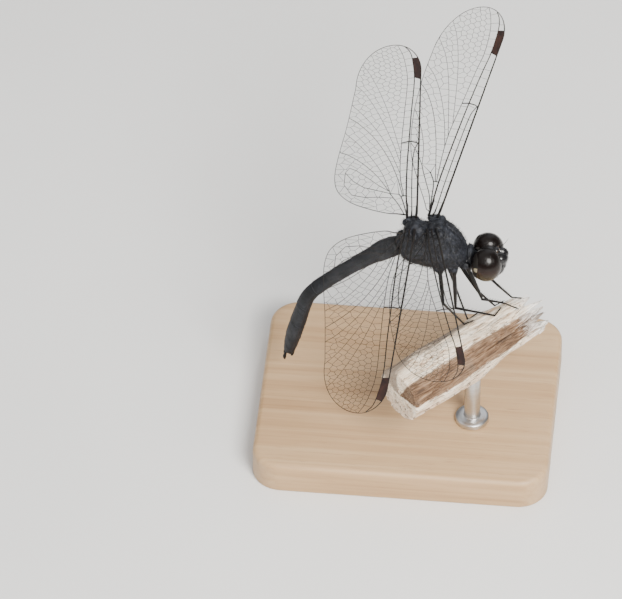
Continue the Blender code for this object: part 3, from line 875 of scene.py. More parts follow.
def veinsAt(wing, s):
    # every line across the wing here, from front to rear, as (back, name)
    key = round(s, 2)
    if key not in wing["known"]:
        front, rear = wingEdges(wing, key)
        lines = [(front, "costa"), (rear, "rim")]
        for name, (_, _, path) in wing["veins"].items():
            if path[0][0] <= key <= path[-1][0]:
                back = readTable(path, key)[0]
                if front < back < rear:
                    lines.append((back, name))
        wing["known"][key] = sorted(lines)
    return wing["known"][key]


def foldHeight(wing, s, b, without=()):
    # the membrane's height over the flat wing: it runs straight from each vein to the next
    lines = [line for line in veinsAt(wing, s) if line[1] not in without]
    before = lines[0]
    for line in lines[1:]:
        if b <= line[0] or line is lines[-1]:
            low, high = veinHeight(wing, s, before, without), veinHeight(wing, s, line, without)
            gap = max(line[0] - before[0], 1e-6)
            return low + (high - low) * min(max((b - before[0]) / gap, 0), 1)
        before = line
    return 0.0


def veinHeight(wing, s, line, without):
    back, name = line
    if name in ("costa", "rim"):
        return 0.0
    bulge, _, path = wing["veins"][name]
    front, rear = wingEdges(wing, s)
    size = wingBuild["bulge"] * (1 - 0.72 * s / wing["length"])
    size *= smoothStep(0, 0.9, rear - back) * smoothStep(0, 0.35, back - front)
    own = bulge * size
    if path[0][0] < 1:
        return own
    grown = smoothStep(0, 2.2, s - path[0][0])
    if grown > 0.999:
        return own
    return own * grown + foldHeight(wing, s, back, (*without, name)) * (1 - grown)


def wingAxes(wing, sign):
    sweep, lift = math.radians(wing["sweep"][sign]), math.radians(wing["lift"])
    outwards = Vector((
        math.sin(sweep) * math.cos(lift),
        sign * math.cos(sweep) * math.cos(lift),
        math.sin(lift),
    ))
    back = Vector((-math.cos(sweep), sign * math.sin(sweep), 0))
    return outwards, back, outwards.cross(back) * sign


def wingPlace(wing, sign, s, b, above=0.0):
    outwards, back, upwards = wingAxes(wing, sign)
    droop = -0.05 * (b / 6) ** 2 - 0.10 * (s / wing["length"]) ** 2
    height = foldHeight(wing, s, b) + droop + above
    return mirrored(wing["root"], sign) + outwards * s + back * b + upwards * height


def insideShape(point, corners):
    inside = False
    for (ax, ay), (bx, by) in zip(corners, corners[1:] + corners[:1]):
        if (ay > point[1]) != (by > point[1]):
            if point[0] < ax + (bx - ax) * (point[1] - ay) / (by - ay):
                inside = not inside
    return inside


def fieldAt(wing, s, b):
    # the name of the patch, or of the strip between two veins, that a place lies in
    for name, corners in wing["patches"]:
        if insideShape((s, b), corners):
            return name
    lines = veinsAt(wing, s)
    for (low, first), (high, second) in zip(lines, lines[1:]):
        if low <= b <= high:
            return wing["strips"].get((first, second))
    return None


def stripsAlong(wing):
    # the strips between neighbouring veins at each step out along a wing, as (front, rear, their names)
    step = wingBuild["walk"]
    for k in range(int(wing["start"] / step), int(wing["length"] / step)):
        lines = veinsAt(wing, k * step)
        pairs = zip(lines, lines[1:])
        yield k * step, [(low, high, (first, second)) for (low, first), (high, second) in pairs]


def nameStrips(wing):
    # a strip keeps its name where a new vein only trims its corner, so that no cell is cut there
    wing["strips"] = strips = {}
    before = []
    for _, now in stripsAlong(wing):
        for low, high, pair in now:
            if pair in strips:
                continue
            strips[pair] = "-".join(pair)
            for lowBefore, highBefore, pairBefore in before:
                shared = min(high, highBefore) - max(low, lowBefore)
                if shared > 0.7 * max(high - low, highBefore - lowBefore):
                    strips[pair] = strips[pairBefore]
        before = now


def sowFields(wing):
    # cell middles in rows between each pair of veins, every other row half a cell further out
    fields, phases = {}, {}
    spotStart, spotEnd = wing["stigma"]
    scatter = wingBuild["scatter"]
    for s, strips in stripsAlong(wing):
        for low, high, pair in strips:
            narrow = wingBuild["frontCell"].get(pair)
            outer = 1 - 0.22 * smoothStep(0.45, 1, s / wing["length"])
            long = narrow or wingBuild["cellLong"] * outer
            phases[pair] = phases.get(pair, 0.6) + wingBuild["walk"] / long
            if phases[pair] < 1 or high - low < 0.22:
                continue
            phases[pair] -= 1
            if pair == ("costa", "radius") and spotStart - 0.4 < s < spotEnd + 0.1:
                continue
            rows = 1 if narrow else max(1, round((high - low) / (wingBuild["cellTall"] * outer)))
            for row in range(rows):
                shifted = s + (long / 2 if row % 2 else 0) + chance.uniform(-scatter, scatter) * long
                near = dict((name, back) for back, name in veinsAt(wing, shifted))
                if not near.keys() >= set(pair):
                    continue
                share = (row + 0.5 + (0 if rows == 1 else chance.uniform(-0.09, 0.09))) / rows
                b = near[pair[0]] + (near[pair[1]] - near[pair[0]]) * share
                if fieldAt(wing, shifted, b) == wing["strips"][pair]:
                    fields.setdefault(wing["strips"][pair], []).append((shifted, b))
    return fields


def sowPatch(corners, size):
    # cell middles on a staggered lattice inside an outline
    middles, row = [], 0
    lowS, lowB = (min(corner[n] for corner in corners) for n in (0, 1))
    highS, highB = (max(corner[n] for corner in corners) for n in (0, 1))
    b = lowB + size * 0.4
    while b < highB:
        s = lowS + (size * 0.5 if row % 2 else 0)
        while s < highS:
            point = (s + chance.uniform(-0.05, 0.05), b + chance.uniform(-0.05, 0.05))
            if insideShape(point, corners):
                middles.append(point)
            s += size
        b += size * 0.87
        row += 1
    return middles


def circleMiddle(a, b, c):
    # the middle of the circle through three points
    d = 2 * (a[0] * (b[1] - c[1]) + b[0] * (c[1] - a[1]) + c[0] * (a[1] - b[1]))
    if abs(d) < 1e-9:
        return None
    aa, bb, cc = a[0] ** 2 + a[1] ** 2, b[0] ** 2 + b[1] ** 2, c[0] ** 2 + c[1] ** 2
    return (
        (aa * (b[1] - c[1]) + bb * (c[1] - a[1]) + cc * (a[1] - b[1])) / d,
        (aa * (c[0] - b[0]) + bb * (a[0] - c[0]) + cc * (b[0] - a[0])) / d,
    )


def cellWalls(wing, field, middles):
    # the walls halfway between neighbouring cell middles, kept inside their field; a far ring of
    # false middles closes the cells at its edge
    far, count = 60, 24
    turns = [2 * math.pi * k / count for k in range(count)]
    ring = [(far * math.cos(turn), far * math.sin(turn)) for turn in turns]
    points = [Vector(p) for p in middles + ring]
    places, _, triangles, origins, _, _ = geometry.delaunay_2d_cdt(points, [], [], 0, 1e-5)
    isReal = [bool(origin) and min(origin) < len(middles) for origin in origins]
    shared = {}
    for triangle in triangles:
        centre = circleMiddle(*(places[corner] for corner in triangle))
        for k in range(3):
            pair = tuple(sorted((triangle[k], triangle[(k + 1) % 3])))
            if centre and isReal[pair[0]] and isReal[pair[1]]:
                shared.setdefault(pair, []).append(centre)
    walls = []
    for (first, second), ends in shared.items():
        if len(ends) == 2:
            between = (places[first] + places[second]) / 2
            walls += trimWall(wing, field, between, *(Vector(end) for end in ends))
    return walls


def trimWall(wing, field, nearby, a, b):
    # the stretches of a wall, within reach of its two cells, that lie inside their field
    reach, step, shortest = 2.6, 0.07, 0.03
    length = (b - a).length
    if length < shortest:
        return []
    ahead = (b - a) / length
    along = (nearby - a).dot(ahead)
    low, high = max(0, along - reach), min(length, along + reach)
    if high - low < shortest:
        return []

    def within(t):
        p = a + ahead * t
        return wing["start"] < p.x < wing["length"] and fieldAt(wing, *p) == field

    def edge(inside, outside):
        # closes in on the place where the wall leaves its field
        for _ in range(9):
            half = (inside + outside) / 2
            inside, outside = (half, outside) if within(half) else (inside, half)
        return inside

    count = max(4, math.ceil((high - low) / step))
    stops = [low + (high - low) * k / count for k in range(count + 1)]
    inside = [within(t) for t in stops]
    kept = []
    start = stops[0] if inside[0] else None
    for k in range(1, count + 1):
        if inside[k] and not inside[k - 1]:
            start = edge(stops[k], stops[k - 1])
        if inside[k - 1] and not inside[k]:
            kept.append((start, edge(stops[k - 1], stops[k])))
            start = None
    if start is not None:
        kept.append((start, stops[-1]))
    return [(a + ahead * first, a + ahead * last) for first, last in kept if last - first > 0.05]


def wingWalls(wing):
    nameStrips(wing)
    walls = []
    for name, middles in sowFields(wing).items():
        if len(middles) > 1:
            walls += cellWalls(wing, name, middles)
    for name, corners in wing["patches"]:
        if name.endswith("Loop"):
            walls += cellWalls(wing, name, sowPatch(corners, wingBuild["loopCell"]))
    return walls


def membraneFinish():
    paint = Paint("wingMembrane", (0.03, 0.026, 0.02), 0.16, Alpha=0.026)
    wrinkles = paint.noise(paint.place(), 1.4, 3, 0.5)
    paint.colour(paint.ramp(wrinkles, (0.35, (0.022, 0.017, 0.011)), (0.65, (0.036, 0.032, 0.025))))
    paint.relief(wrinkles, 0.04, 0.4)
    return paint.material


def veinFinish(name, light):
    deep = (0.008, 0.0068, 0.0062)
    paint = Paint(name, deep, 0.50)
    paint.give("Specular IOR Level", 0.25)
    tone = paint.noise(paint.place(), 0.8, 3, 0.6)
    paint.colour(paint.ramp(tone, (0.38, deep), (0.66, light)))
    paint.rough(0.44 + tone * 0.2)
    return paint.material


def spotFinish():
    paint = Paint("wingSpot", (0.055, 0.028, 0.014), 0.40)
    paint.give("Specular IOR Level", 0.25)
    tone = paint.noise(paint.place(scale=(1, 0.5, 1)), 2.2, 3, 0.6)
    paint.colour(paint.ramp(tone, (0.35, (0.011, 0.0045, 0.0034)), (0.65, (0.034, 0.0130, 0.0080))))
    paint.relief(tone, 0.03, 0.4)
    return paint.material


def radiusBack(wing, s):
    return readTable(wing["veins"]["radius"][2], s)[0]


def veinStroke(wing, sign, path, radii):
    # a vein's own line, from root to tip, until it meets an edge
    start = max(path[0][0], wing["start"])
    count = max(4, int((path[-1][0] - start) / 0.3))
    places, widths = [], []
    for k in range(count + 1):
        s = start + (min(path[-1][0], wing["length"] * 0.997) - start) * k / count
        front, rear = wingEdges(wing, s)
        b = readTable(path, s)[0]
        places.append(wingPlace(wing, sign, s, min(max(b, front), rear)))
        widths.append(radii[0] + (radii[1] - radii[0]) * s / wing["length"])
        if k > 2 and (b >= rear or b <= front):
            break
    return places, widths


def edgeStroke(wing, sign, which, radii):
    # the front edge (0) or the rear edge (1)
    places, widths = [], []
    count = 110
    for k in range(count + 1):
        share = eased(k / count)
        s = wing["start"] + (wing["length"] - wing["start"]) * share
        places.append(wingPlace(wing, sign, s * wingBuild["reach"], wingEdges(wing, s)[which]))
        widths.append(readTable(radii, share)[0])
    return places, widths


def makeMembrane(wing, sign, name, finish):
    # one folded sheet from edge to edge, then a little thickness
    def place(u, v):
        s = wing["start"] + (wing["length"] - wing["start"]) * eased(u)
        front, rear = wingEdges(wing, s)
        return wingPlace(wing, sign, s * wingBuild["reach"], front + (rear - front) * v)

    sheet = gridSheet(name + "_membrane", wingBuild["along"], wingBuild["across"], place, rolled=False)
    modify(sheet, "SOLIDIFY", thickness=wingBuild["membrane"] * mm, offset=0)
    weld(sheet)
    settle(sheet, finish, "wing", name, smooth=60)


def makeStigma(wing, sign, name, finish):
    # the dark thickened cell near the tip, between the front edge and the radius
    inner, outer = wing["stigma"]

    def place(u, v):
        s = inner + (outer - inner) * u + (0.12 if v > 0.5 else -0.02) * (0.5 - u)
        front = wingEdges(wing, s)[0]
        return wingPlace(wing, sign, s, front + (radiusBack(wing, s) - front) * v)

    plate = gridSheet(name + "_spot", 26, 8, place, rolled=False)
    modify(plate, "SOLIDIFY", thickness=wingBuild["spotThick"] * mm, offset=0)
    modify(plate, "BEVEL", width=0.02 * mm, segments=2, limit_method="ANGLE")
    settle(plate, finish, "wing")


def makeWing(wing, side, sign, finishes):
    name = wing["name"] + side
    makeMembrane(wing, sign, name, finishes["membrane"])
    makeStigma(wing, sign, name, finishes["spot"])

    def across(points, *radii):
        return [wingPlace(wing, sign, s, b) for s, b in points], list(radii)

    veins = [edgeStroke(wing, sign, 1, wingBuild["rimRadius"])]
    frontVeins = [edgeStroke(wing, sign, 0, wingBuild["costaRadius"])]
    for vein, (_, radii, path) in wing["veins"].items():
        stroke = veinStroke(wing, sign, path, radii)
        (frontVeins if vein in ("subcosta", "radius") else veins).append(stroke)
    for points, radius in wing["strokes"]:
        veins.append(across(points, *[radius] * len(points)))
    start, rear = wing["start"], wingEdges(wing, wing["start"])[1]
    cord = [(start + 0.02, rear), (start * 0.8, rear - 0.25), (0.16, (rear + 1.1) / 2), (0.1, 1.1)]
    veins.append(across(cord, *wingBuild["cordRadii"]))
    for end, lean in zip(wing["stigma"], (0.10, -0.10)):
        brace = [(end - lean, wingEdges(wing, end)[0]), (end + lean, radiusBack(wing, end))]
        veins.append(across(brace, *[wingBuild["braceRadius"]] * 2))
    walls = [across(ends, *[wingBuild["wallRadius"]] * 2) for ends in wing["walls"]]
    settle(rods(name + "_veins", veins, 1), finishes["veins"], "wing")
    settle(rods(name + "_front", frontVeins, 2), finishes["front"], "wing")
    settle(rods(name + "_net", walls, 0), finishes["veins"], "wing")


def makeWings():
    finishes = {
        "membrane": membraneFinish(),
        "veins": veinFinish("wingVeins", (0.018, 0.0145, 0.012)),
        "front": veinFinish("wingFrontVeins", (0.020, 0.0155, 0.012)),
        "spot": spotFinish(),
    }
    for wing in (foreWing, hindWing):
        wing["walls"] = wingWalls(wing)
        for side, sign in (("left", 1), ("right", -1)):
            makeWing(wing, side, sign, finishes)


makeWings()
say("wings done")


# thorax and neck, one skin with the wing shoulders and leg sockets grown into it

thorax = {
    # along, half width, top and bottom, in millimetres from its middle
    "sections": (
        (-3.62, 0.90, -0.20, -1.95), (-3.50, 1.00, 0.10, -2.08), (-3.15, 1.40, 1.25, -2.45),
        (-2.55, 1.66, 2.05, -2.75), (-1.85, 1.80, 2.22, -2.98), (-1.10, 1.92, 1.98, -3.14),
        (-0.40, 1.98, 2.22, -3.24), (0.30, 2.00, 2.40, -3.32), (0.95, 2.00, 2.30, -3.36),
        (1.65, 1.92, 1.86, -3.34), (2.30, 1.72, 1.12, -3.18), (2.85, 1.34, 0.28, -2.85),
        (3.12, 1.02, -0.32, -2.52), (3.24, 0.80, -0.62, -2.32), (3.38, 0.98, -0.42, -2.50),
        (3.60, 1.04, -0.44, -2.50), (3.78, 0.90, -0.62, -2.38), (3.92, 0.58, -0.97, -2.12),
        (4.25, 0.44, -1.15, -1.95),
    ),
    "front": 4.25,
    "back": -3.62,
    "fullness": 2.3,
    "inset": 0.12,
    "voxel": 0.045,
    # lumps grown into the skin on both sides: centre, half sizes, turn about its length
    "lumps": (
        ((-0.22, 1.20, 1.94), (0.66, 0.36, 0.42), 14),
        ((0.16, 1.26, 1.90), (0.36, 0.34, 0.46), 10),
        ((0.60, 1.04, 1.94), (0.46, 0.44, 0.40), 0),
        ((-2.42, 1.16, 1.52), (0.64, 0.36, 0.42), 14),
        ((-2.02, 1.22, 1.54), (0.36, 0.34, 0.44), 10),
        ((-2.95, 1.05, 1.15), (0.45, 0.40, 0.42), 10),
        ((-3.42, 0.34, -0.14), (0.52, 0.56, 0.70), 0),
        ((3.16, 0.70, -2.58), (0.42, 0.40, 0.42), 0),
        ((3.80, 0.56, -2.00), (0.36, 0.36, 0.44), 0),
        ((1.92, 0.82, -2.98), (0.52, 0.48, 0.50), 0),
        ((0.52, 0.86, -3.00), (0.60, 0.50, 0.52), 0),
    ),
    # seams of the side plates, seen from the side, front to rear
    "seams": (
        ((2.75, -2.45), (2.20, -0.90), (1.55, 0.75), (1.02, 2.05)),
        ((1.45, -3.10), (1.10, -2.0), (0.62, -0.95), (0.30, 0.10)),
        ((0.35, -3.20), (-0.10, -1.6), (-0.85, 0.2), (-1.45, 1.45)),
        ((2.62, -2.05), (1.9, -2.35), (0.9, -2.30), (-0.05, -2.15)),
        ((-0.75, -3.05), (-1.9, -2.25), (-2.9, -1.25), (-3.25, -0.3)),
    ),
    "seamDepth": 0.085,
    "seamWidth": 0.085,
    # lobes of the back between the wings: along, across, half length, half width, height
    "lobes": (
        (0.36, 0.40, 0.44, 0.34, 0.17), (-0.38, 0.0, 0.24, 0.40, 0.24), (-1.42, 0.40, 0.36, 0.34, 0.15),
        (-2.08, 0.0, 0.26, 0.40, 0.22), (-2.72, 0.0, 0.28, 0.60, 0.08),
    ),
    "spiracle": (0.46, -0.62),
    "neckFrom": 3.1,
    # plates at each wing's root: out along the wing, back from its front line, above it, half sizes
    "plates": (
        (-0.42, 0.50, -0.42, (0.64, 0.30, 0.28)),
        (-0.34, 0.14, -0.20, (0.25, 0.20, 0.11)),
        (-0.38, 0.88, -0.22, (0.25, 0.20, 0.11)),
    ),
}


def lineDistance(x, z, line):
    best = 99.0
    for (ax, az), (bx, bz) in zip(line, line[1:]):
        dx, dz = bx - ax, bz - az
        t = min(max(((x - ax) * dx + (z - az) * dz) / (dx * dx + dz * dz), 0), 1)
        best = min(best, math.hypot(x - ax - dx * t, z - az - dz * t))
    return best


def thoraxPlace(u, v):
    x = thorax["back"] + (thorax["front"] - thorax["back"]) * u
    halfWidth, top, bottom = readTable(thorax["sections"], x)
    close = min((x - thorax["back"]) / 0.45, 1)
    close = math.sqrt(max(1 - (1 - close) ** 2, 0)) * (u < 0.999)
    halfWidth = (halfWidth - thorax["inset"]) * close
    middleHeight, halfHeight = (top + bottom) / 2, ((top - bottom) / 2 - thorax["inset"]) * close
    angle = v * 2 * math.pi
    c, s = math.cos(angle), math.sin(angle)
    across = halfWidth * math.copysign(abs(c) ** (2 / thorax["fullness"]), c)
    high = middleHeight + halfHeight * math.copysign(abs(s) ** (2 / thorax["fullness"]), s)
    return Vector((x, across, high))


def sideRelief(x, z):
    # the seams between the side plates, each with a low lip, and the breathing hole
    height = 0.0
    for k, seam in enumerate(thorax["seams"]):
        d = lineDistance(x, z, seam)
        if d < 0.5:
            deep = thorax["seamDepth"] * (0.6 if k in (1, 3) else 1.0)
            height -= deep * bell(d, thorax["seamWidth"]) - 0.35 * deep * bell(d - 0.20, 0.09)
    holeX, holeZ = thorax["spiracle"]
    d = math.hypot((x - holeX) / 0.11, (z - holeZ) / 0.19)
    return height + 0.05 * bell(d - 1.35, 0.45) - 0.12 * bell(d, 0.85)


def backRelief(x, y, upwards):
    # the lobes and furrows between the wings, the ridge before them and the keel down the front
    facing = smoothStep(0.1, 0.5, upwards)
    top = smoothStep(1.30, 0.90, abs(y))
    height = 0.0
    for along, across, long, wide, high in thorax["lobes"]:
        height += top * high * math.exp(-(((x - along) / long) ** 2) - ((abs(y) - across) / wide) ** 2)
    height -= top * 0.12 * bell(x + 0.86, 0.13)
    height -= top * 0.10 * bell(abs(y) - 0.92, 0.12) * (bell(x + 0.05, 0.9) + bell(x + 2.1, 0.8))
    height += smoothStep(1.7, 1.1, abs(y)) * (0.11 * bell(x - 1.12, 0.10) - 0.08 * bell(x - 0.90, 0.09))
    keel = smoothStep(1.0, 1.3, x) * smoothStep(3.0, 2.6, x)
    height += keel * (0.11 * bell(y, 0.09) - 0.035 * bell(abs(y) - 0.22, 0.10))
    return facing * height


def thoraxRelief(x, y, z, upwards):
    # height over the plain skin
    if x < thorax["neckFrom"]:
        onTop = smoothStep(0.55, 0.95, upwards) * smoothStep(1.2, 1.7, z)
        side = smoothStep(0.25, 0.75, abs(y)) * (1 - onTop)
        return side * sideRelief(x, z) + backRelief(x, y, upwards)
    rings = 0.05 * bell(x - 3.42, 0.06) - 0.05 * bell(x - 3.53, 0.05) + 0.03 * bell(x - 3.68, 0.07)
    return rings - 0.05 * bell(y, 0.06) * smoothStep(0, 0.5, upwards)


def raiseSkin(skin, height):
    # moves every vertex along its own normal by height(place, normal), in millimetres
    normals = [vertex.normal.copy() for vertex in skin.data.vertices]
    for vertex, normal in zip(skin.data.vertices, normals):
        vertex.co += normal * height(vertex.co / mm - middle, normal) * mm


def makeThorax(finish):
    parts = [gridSheet("thoraxSkin", 180, 120, thoraxPlace)]
    for centre, sizes, turn in thorax["lumps"]:
        for sign in (1, -1):
            parts.append(lump(mirrored(centre, sign), sizes, (turn * sign, 0, 0)))
    for wing in (foreWing, hindWing):
        for s, b, rise, sizes in thorax["plates"]:
            for sign in (1, -1):
                parts.append(lump(wingPlace(wing, sign, s, b, rise), sizes, detail=3))
    skin = join("thoraxSkin", parts)
    modify(skin, "REMESH", mode="VOXEL", voxel_size=thorax["voxel"] * mm, adaptivity=0)
    modify(skin, "SMOOTH", factor=0.6, iterations=4)

    def height(place, normal):
        grain = 0.012 * noise.noise(place * 3.0) + 0.007 * noise.noise(place * 9.0)
        return thoraxRelief(*place, normal.z) + grain

    raiseSkin(skin, height)
    return settle(skin, finish, "body_shell", "thorax", "prothorax", smooth=60)


# abdomen, one skin bent along its own line

abdomen = {
    "start": (-3.70, 0, -1.10),
    # degrees below the horizontal, along its own length
    "slope": ((0, 23), (1.6, 35.5), (4, 39.5), (6.5, 42), (9.5, 46), (11, 52), (12.2, 65), (13.2, 75),
              (14.6, 76), (17, 76.5), (22, 81)),
    "segments": (0.75, 1.75, 2.60, 2.75, 2.80, 2.75, 2.50, 2.10, 1.35, 0.85),
    # along, half width, half height
    "girth": (
        (0, 1.10, 1.12), (1.5, 1.17, 1.21), (3, 0.97, 1.02), (5.5, 0.84, 0.90), (9, 0.86, 0.86),
        (12.5, 0.92, 0.86), (15.5, 1.05, 0.92), (17.5, 1.06, 0.92), (19.2, 0.88, 0.80), (20.4, 0.67, 0.63),
    ),
    "belly": 0.84,
    "inset": 0.05,
    "step": 0.05,
    "along": 440,
    "around": 72,
    # the hooks and lobes under the second segment: along, across, depth, half sizes
    "hooks": (
        (1.15, 0.0, 0.86, (0.30, 0.34, 0.16)),
        (1.65, 0.20, 0.92, (0.22, 0.13, 0.17)),
        (1.65, -0.20, 0.92, (0.22, 0.13, 0.17)),
        (2.20, 0.0, 0.90, (0.26, 0.22, 0.14)),
    ),
}

claspers = {
    # across, height, length
    "pieces": {"left": (0.25, 0.20, 1.42), "right": (-0.25, 0.20, 1.42), "lower": (0.0, -0.26, 0.98)},
    "sunk": 0.12,
    "arch": 0.20,
    "steps": 18,
    "teeth": 5,
    "toothFrom": 0.46,  # shares of the length
    "toothGap": 0.07,
    "toothSize": (0.10, 0.035),
}


def abdomenLine():
    line = []
    at = Vector(abdomen["start"])
    length = sum(abdomen["segments"]) + 3
    for k in range(int(length / abdomen["step"])):
        slope = math.radians(readTable(abdomen["slope"], k * abdomen["step"])[0])
        ahead = Vector((-math.cos(slope), 0, -math.sin(slope)))
        line.append((at.copy(), ahead))
        at += ahead * abdomen["step"]
    return line


def abdomenFrame(line, along):
    share = max(along, 0) / abdomen["step"]
    k = min(int(share), len(line) - 2)
    t = share - k
    at = line[k][0].lerp(line[k + 1][0], t) + line[0][1] * min(along, 0)
    ahead = line[k][1].lerp(line[k + 1][1], t).normalized()
    return at, ahead, left.cross(ahead)


def segmentAt(along):
    # the segment's number, its share from front to rear, and the distances to its two joints
    start = 0.0
    for number, length in enumerate(abdomen["segments"], 1):
        if along < start + length or number == len(abdomen["segments"]):
            return number, (along - start) / length, along - start, start + length - along
        start += length


def abdomenRadii(along, angle):
    # across and up from the abdomen's line: its girth, drawn in at the joints and creases
    halfWidth, halfHeight = readTable(abdomen["girth"], along)
    number, share, fromFront, toRear = segmentAt(along)
    swell = 1 + 0.045 * (share - 0.5)
    groove = 0.0
    if number > 1:
        groove += 0.085 * bell(fromFront, 0.05)
    if number < 10:
        groove += 0.045 * bell(toRear, 0.035)
        groove -= 0.022 * bell(toRear - 0.10, 0.06)
    if number == 2:
        groove -= 0.020 * bell(share - 0.45, 0.03)
    if number in (3, 4):
        groove -= 0.018 * bell(share - 0.30, 0.02)
    c, s = math.cos(angle), math.sin(angle)
    wide = (halfWidth - abdomen["inset"]) * (swell - groove)
    high = (halfHeight - abdomen["inset"]) * (swell - groove)
    if s < 0:
        high *= abdomen["belly"] * (1 - 0.05 * smoothStep(0, 1, -s))
    ridge = 0.045 * bell(c, 0.07) * (s > 0)
    flank = 0.04 * bell(s + 0.18, 0.09)
    pleat = 0.06 * bell(abs(c) - 0.60, 0.09) * (s < 0)
    # the back is slightly roofed, so its sides run flat up to the ridge
    roof = 1 - 0.045 * math.sin(2 * angle) ** 2 * (s > 0)
    stretch = roof + ridge + flank - pleat
    return wide * c * stretch, high * s * stretch


def abdomenPlace(line, u, v):
    # from inside the thorax to the last joint, then a small rounded cap
    capShare, capLong = 0.012, 0.10
    front, rear = -0.30, sum(abdomen["segments"])
    angle = v * 2 * math.pi
    if u > 1 - capShare:
        t = (u - 1 + capShare) / capShare
        along = rear + capLong * math.sin(t * math.pi / 2)
        across, high = abdomenRadii(rear, angle)
        close = math.cos(t * math.pi / 2) if t < 0.999 else 0.0
    else:
        along = front + (rear - front) * u / (1 - capShare)
        across, high = abdomenRadii(max(along, 0.0), angle)
        close = 1.0
        if along < 0.1:
            close = 0.98 * roundedEnd((0.1 - along) / 0.4)
        if high < 0:  # fine creases where the bend folds the belly's skin
            bend = smoothStep(10.5, 12.0, along) * smoothStep(15.0, 13.4, along)
            close *= 1 - 0.02 * bend * (0.5 + 0.5 * math.sin(along * 26))
    at, _, above = abdomenFrame(line, along)
    return at + left * across * close + above * high * close


def makeAbdomen(finish):
    line = abdomenLine()
    lumps = [gridSheet(
        "abdomenSkin", abdomen["along"], abdomen["around"], lambda u, v: abdomenPlace(line, u, v)
    )]
    for along, across, deep, sizes in abdomen["hooks"]:
        at, _, above = abdomenFrame(line, along)
        lumps.append(lump(at + left * across - above * deep, sizes, (0, 30, 0), 3))
    skin = join("abdomenSkin", lumps)
    nodes = ["abdomen_" + str(n) for n in range(1, len(abdomen["segments"]) + 1)]
    return settle(skin, finish, "body_shell", *nodes, smooth=50), line


def makeClaspers(line, finish):
    tip = sum(abdomen["segments"]) - claspers["sunk"]
    steps, teeth = claspers["steps"], claspers["teeth"]
    for side, (across, high, length) in claspers["pieces"].items():
        places, radii = [], []
        lower = side == "lower"
        for k in range(steps + 1):
            t = k / steps
            at, _, above = abdomenFrame(line, tip + length * t)
            arch = claspers["arch"] * math.sin(math.pi * t * 0.9) * (-0.45 if lower else 1)
            inward = 0.10 * math.sin(math.pi * t) * (-1 if across > 0 else 1) * (not lower)
            places.append(at + left * (across * (1 - 0.10 * t) - inward) + above * (high + arch))
            club = 0.20 - 0.07 * t if lower else 0.105 + 0.075 * bell(t - 0.62, 0.26)
            radii.append(club * math.sqrt(max(1 - max((t - 0.80) / 0.20, 0) ** 2, 0.004)))
        name = "clasper_" + side
        hook = rods(name + "_shell", [(places, radii)], 3)
        if not lower:
            # a row of small teeth under its end
            row = []
            for k in range(teeth):
                t = claspers["toothFrom"] + claspers["toothGap"] * k
                _, ahead, above = abdomenFrame(line, tip + length * t)
                foot = places[round(t * steps)] - above * 0.13
                row.append(aimed(foot, ahead * 0.4 - above, *claspers["toothSize"]))
            hook = join(name + "_shell", [hook, stamp("teeth", spikeTemplate(6), row)])
        settle(hook, finish, "black_shell", name)


# head

head = {
    "at": Vector((5.45, 0, -1.95)),
    "voxel": 0.042,
    # centre and half sizes from the head's middle, for both sides or the middle
    "lumps": (
        ((-0.12, 0, -0.12), (1.20, 1.90, 1.62)),
        ((-0.94, 1.18, 0.10), (0.74, 1.26, 1.56)),
        ((-1.16, 0, 1.20), (0.26, 0.20, 0.16)),
        ((1.00, 0.36, 0.38), (0.94, 0.70, 0.66)),
        ((0.96, 0, 0.12), (0.96, 1.10, 0.70)),
        ((0.70, 0, 1.16), (0.34, 0.42, 0.34)),
        ((0.94, 0, -0.36), (0.84, 1.24, 0.50)),
        ((0.98, 0, -0.80), (0.72, 0.98, 0.42)),
        ((0.86, 0, -1.18), (0.72, 1.06, 0.56)),
        ((0.52, 0.96, -0.96), (0.62, 0.38, 0.58)),
        ((0.24, 0.46, -1.60), (0.92, 0.66, 0.42)),
        ((-0.20, 0, -1.66), (0.60, 0.50, 0.36)),
    ),
    "eyeAt": (-0.18, 1.26, 0.22),
    "eyeHalf": (1.56, 1.36, 1.78),
    "eyeLean": 14.0,
    "eyeGap": 0.045,  # from the middle to each eye's flat side
    "eyeRound": 0.115,
    "ocelli": ((1.00, 0, 1.20), (0.84, 0.38, 1.24)),
    "ocellusRadius": 0.11,
    # lines across the face: height, how far its ends rise, width, depth
    "faceLines": ((-0.10, 0, 0.06, 0.035), (-0.66, 0, 0.045, 0.04), (-0.92, 0.10, 0.045, 0.045)),
}

antenna = {
    "at": (1.02, 0.52, 0.98),
    "aim": (0.75, 0.45, 0.85),
    "length": 1.30,
    # share of the length, radius
    "base": ((-0.06, 0.10), (0.0, 0.105), (0.06, 0.10), (0.10, 0.08), (0.11, 0.055), (0.13, 0.07),
             (0.19, 0.06), (0.22, 0.03)),
    "whipFrom": 0.2,
    "whipRadii": (0.034, 0.008),
    "whipSteps": 14,
    "bow": (0.06, 0.03, -0.06),
}


def headPlace(place, sign=1):
    return head["at"] + mirrored(place, sign)


def bothSides(place):
    # both sides for what stands off the middle, one for what stands on it
    return (1, -1) if place[1] else (1,)


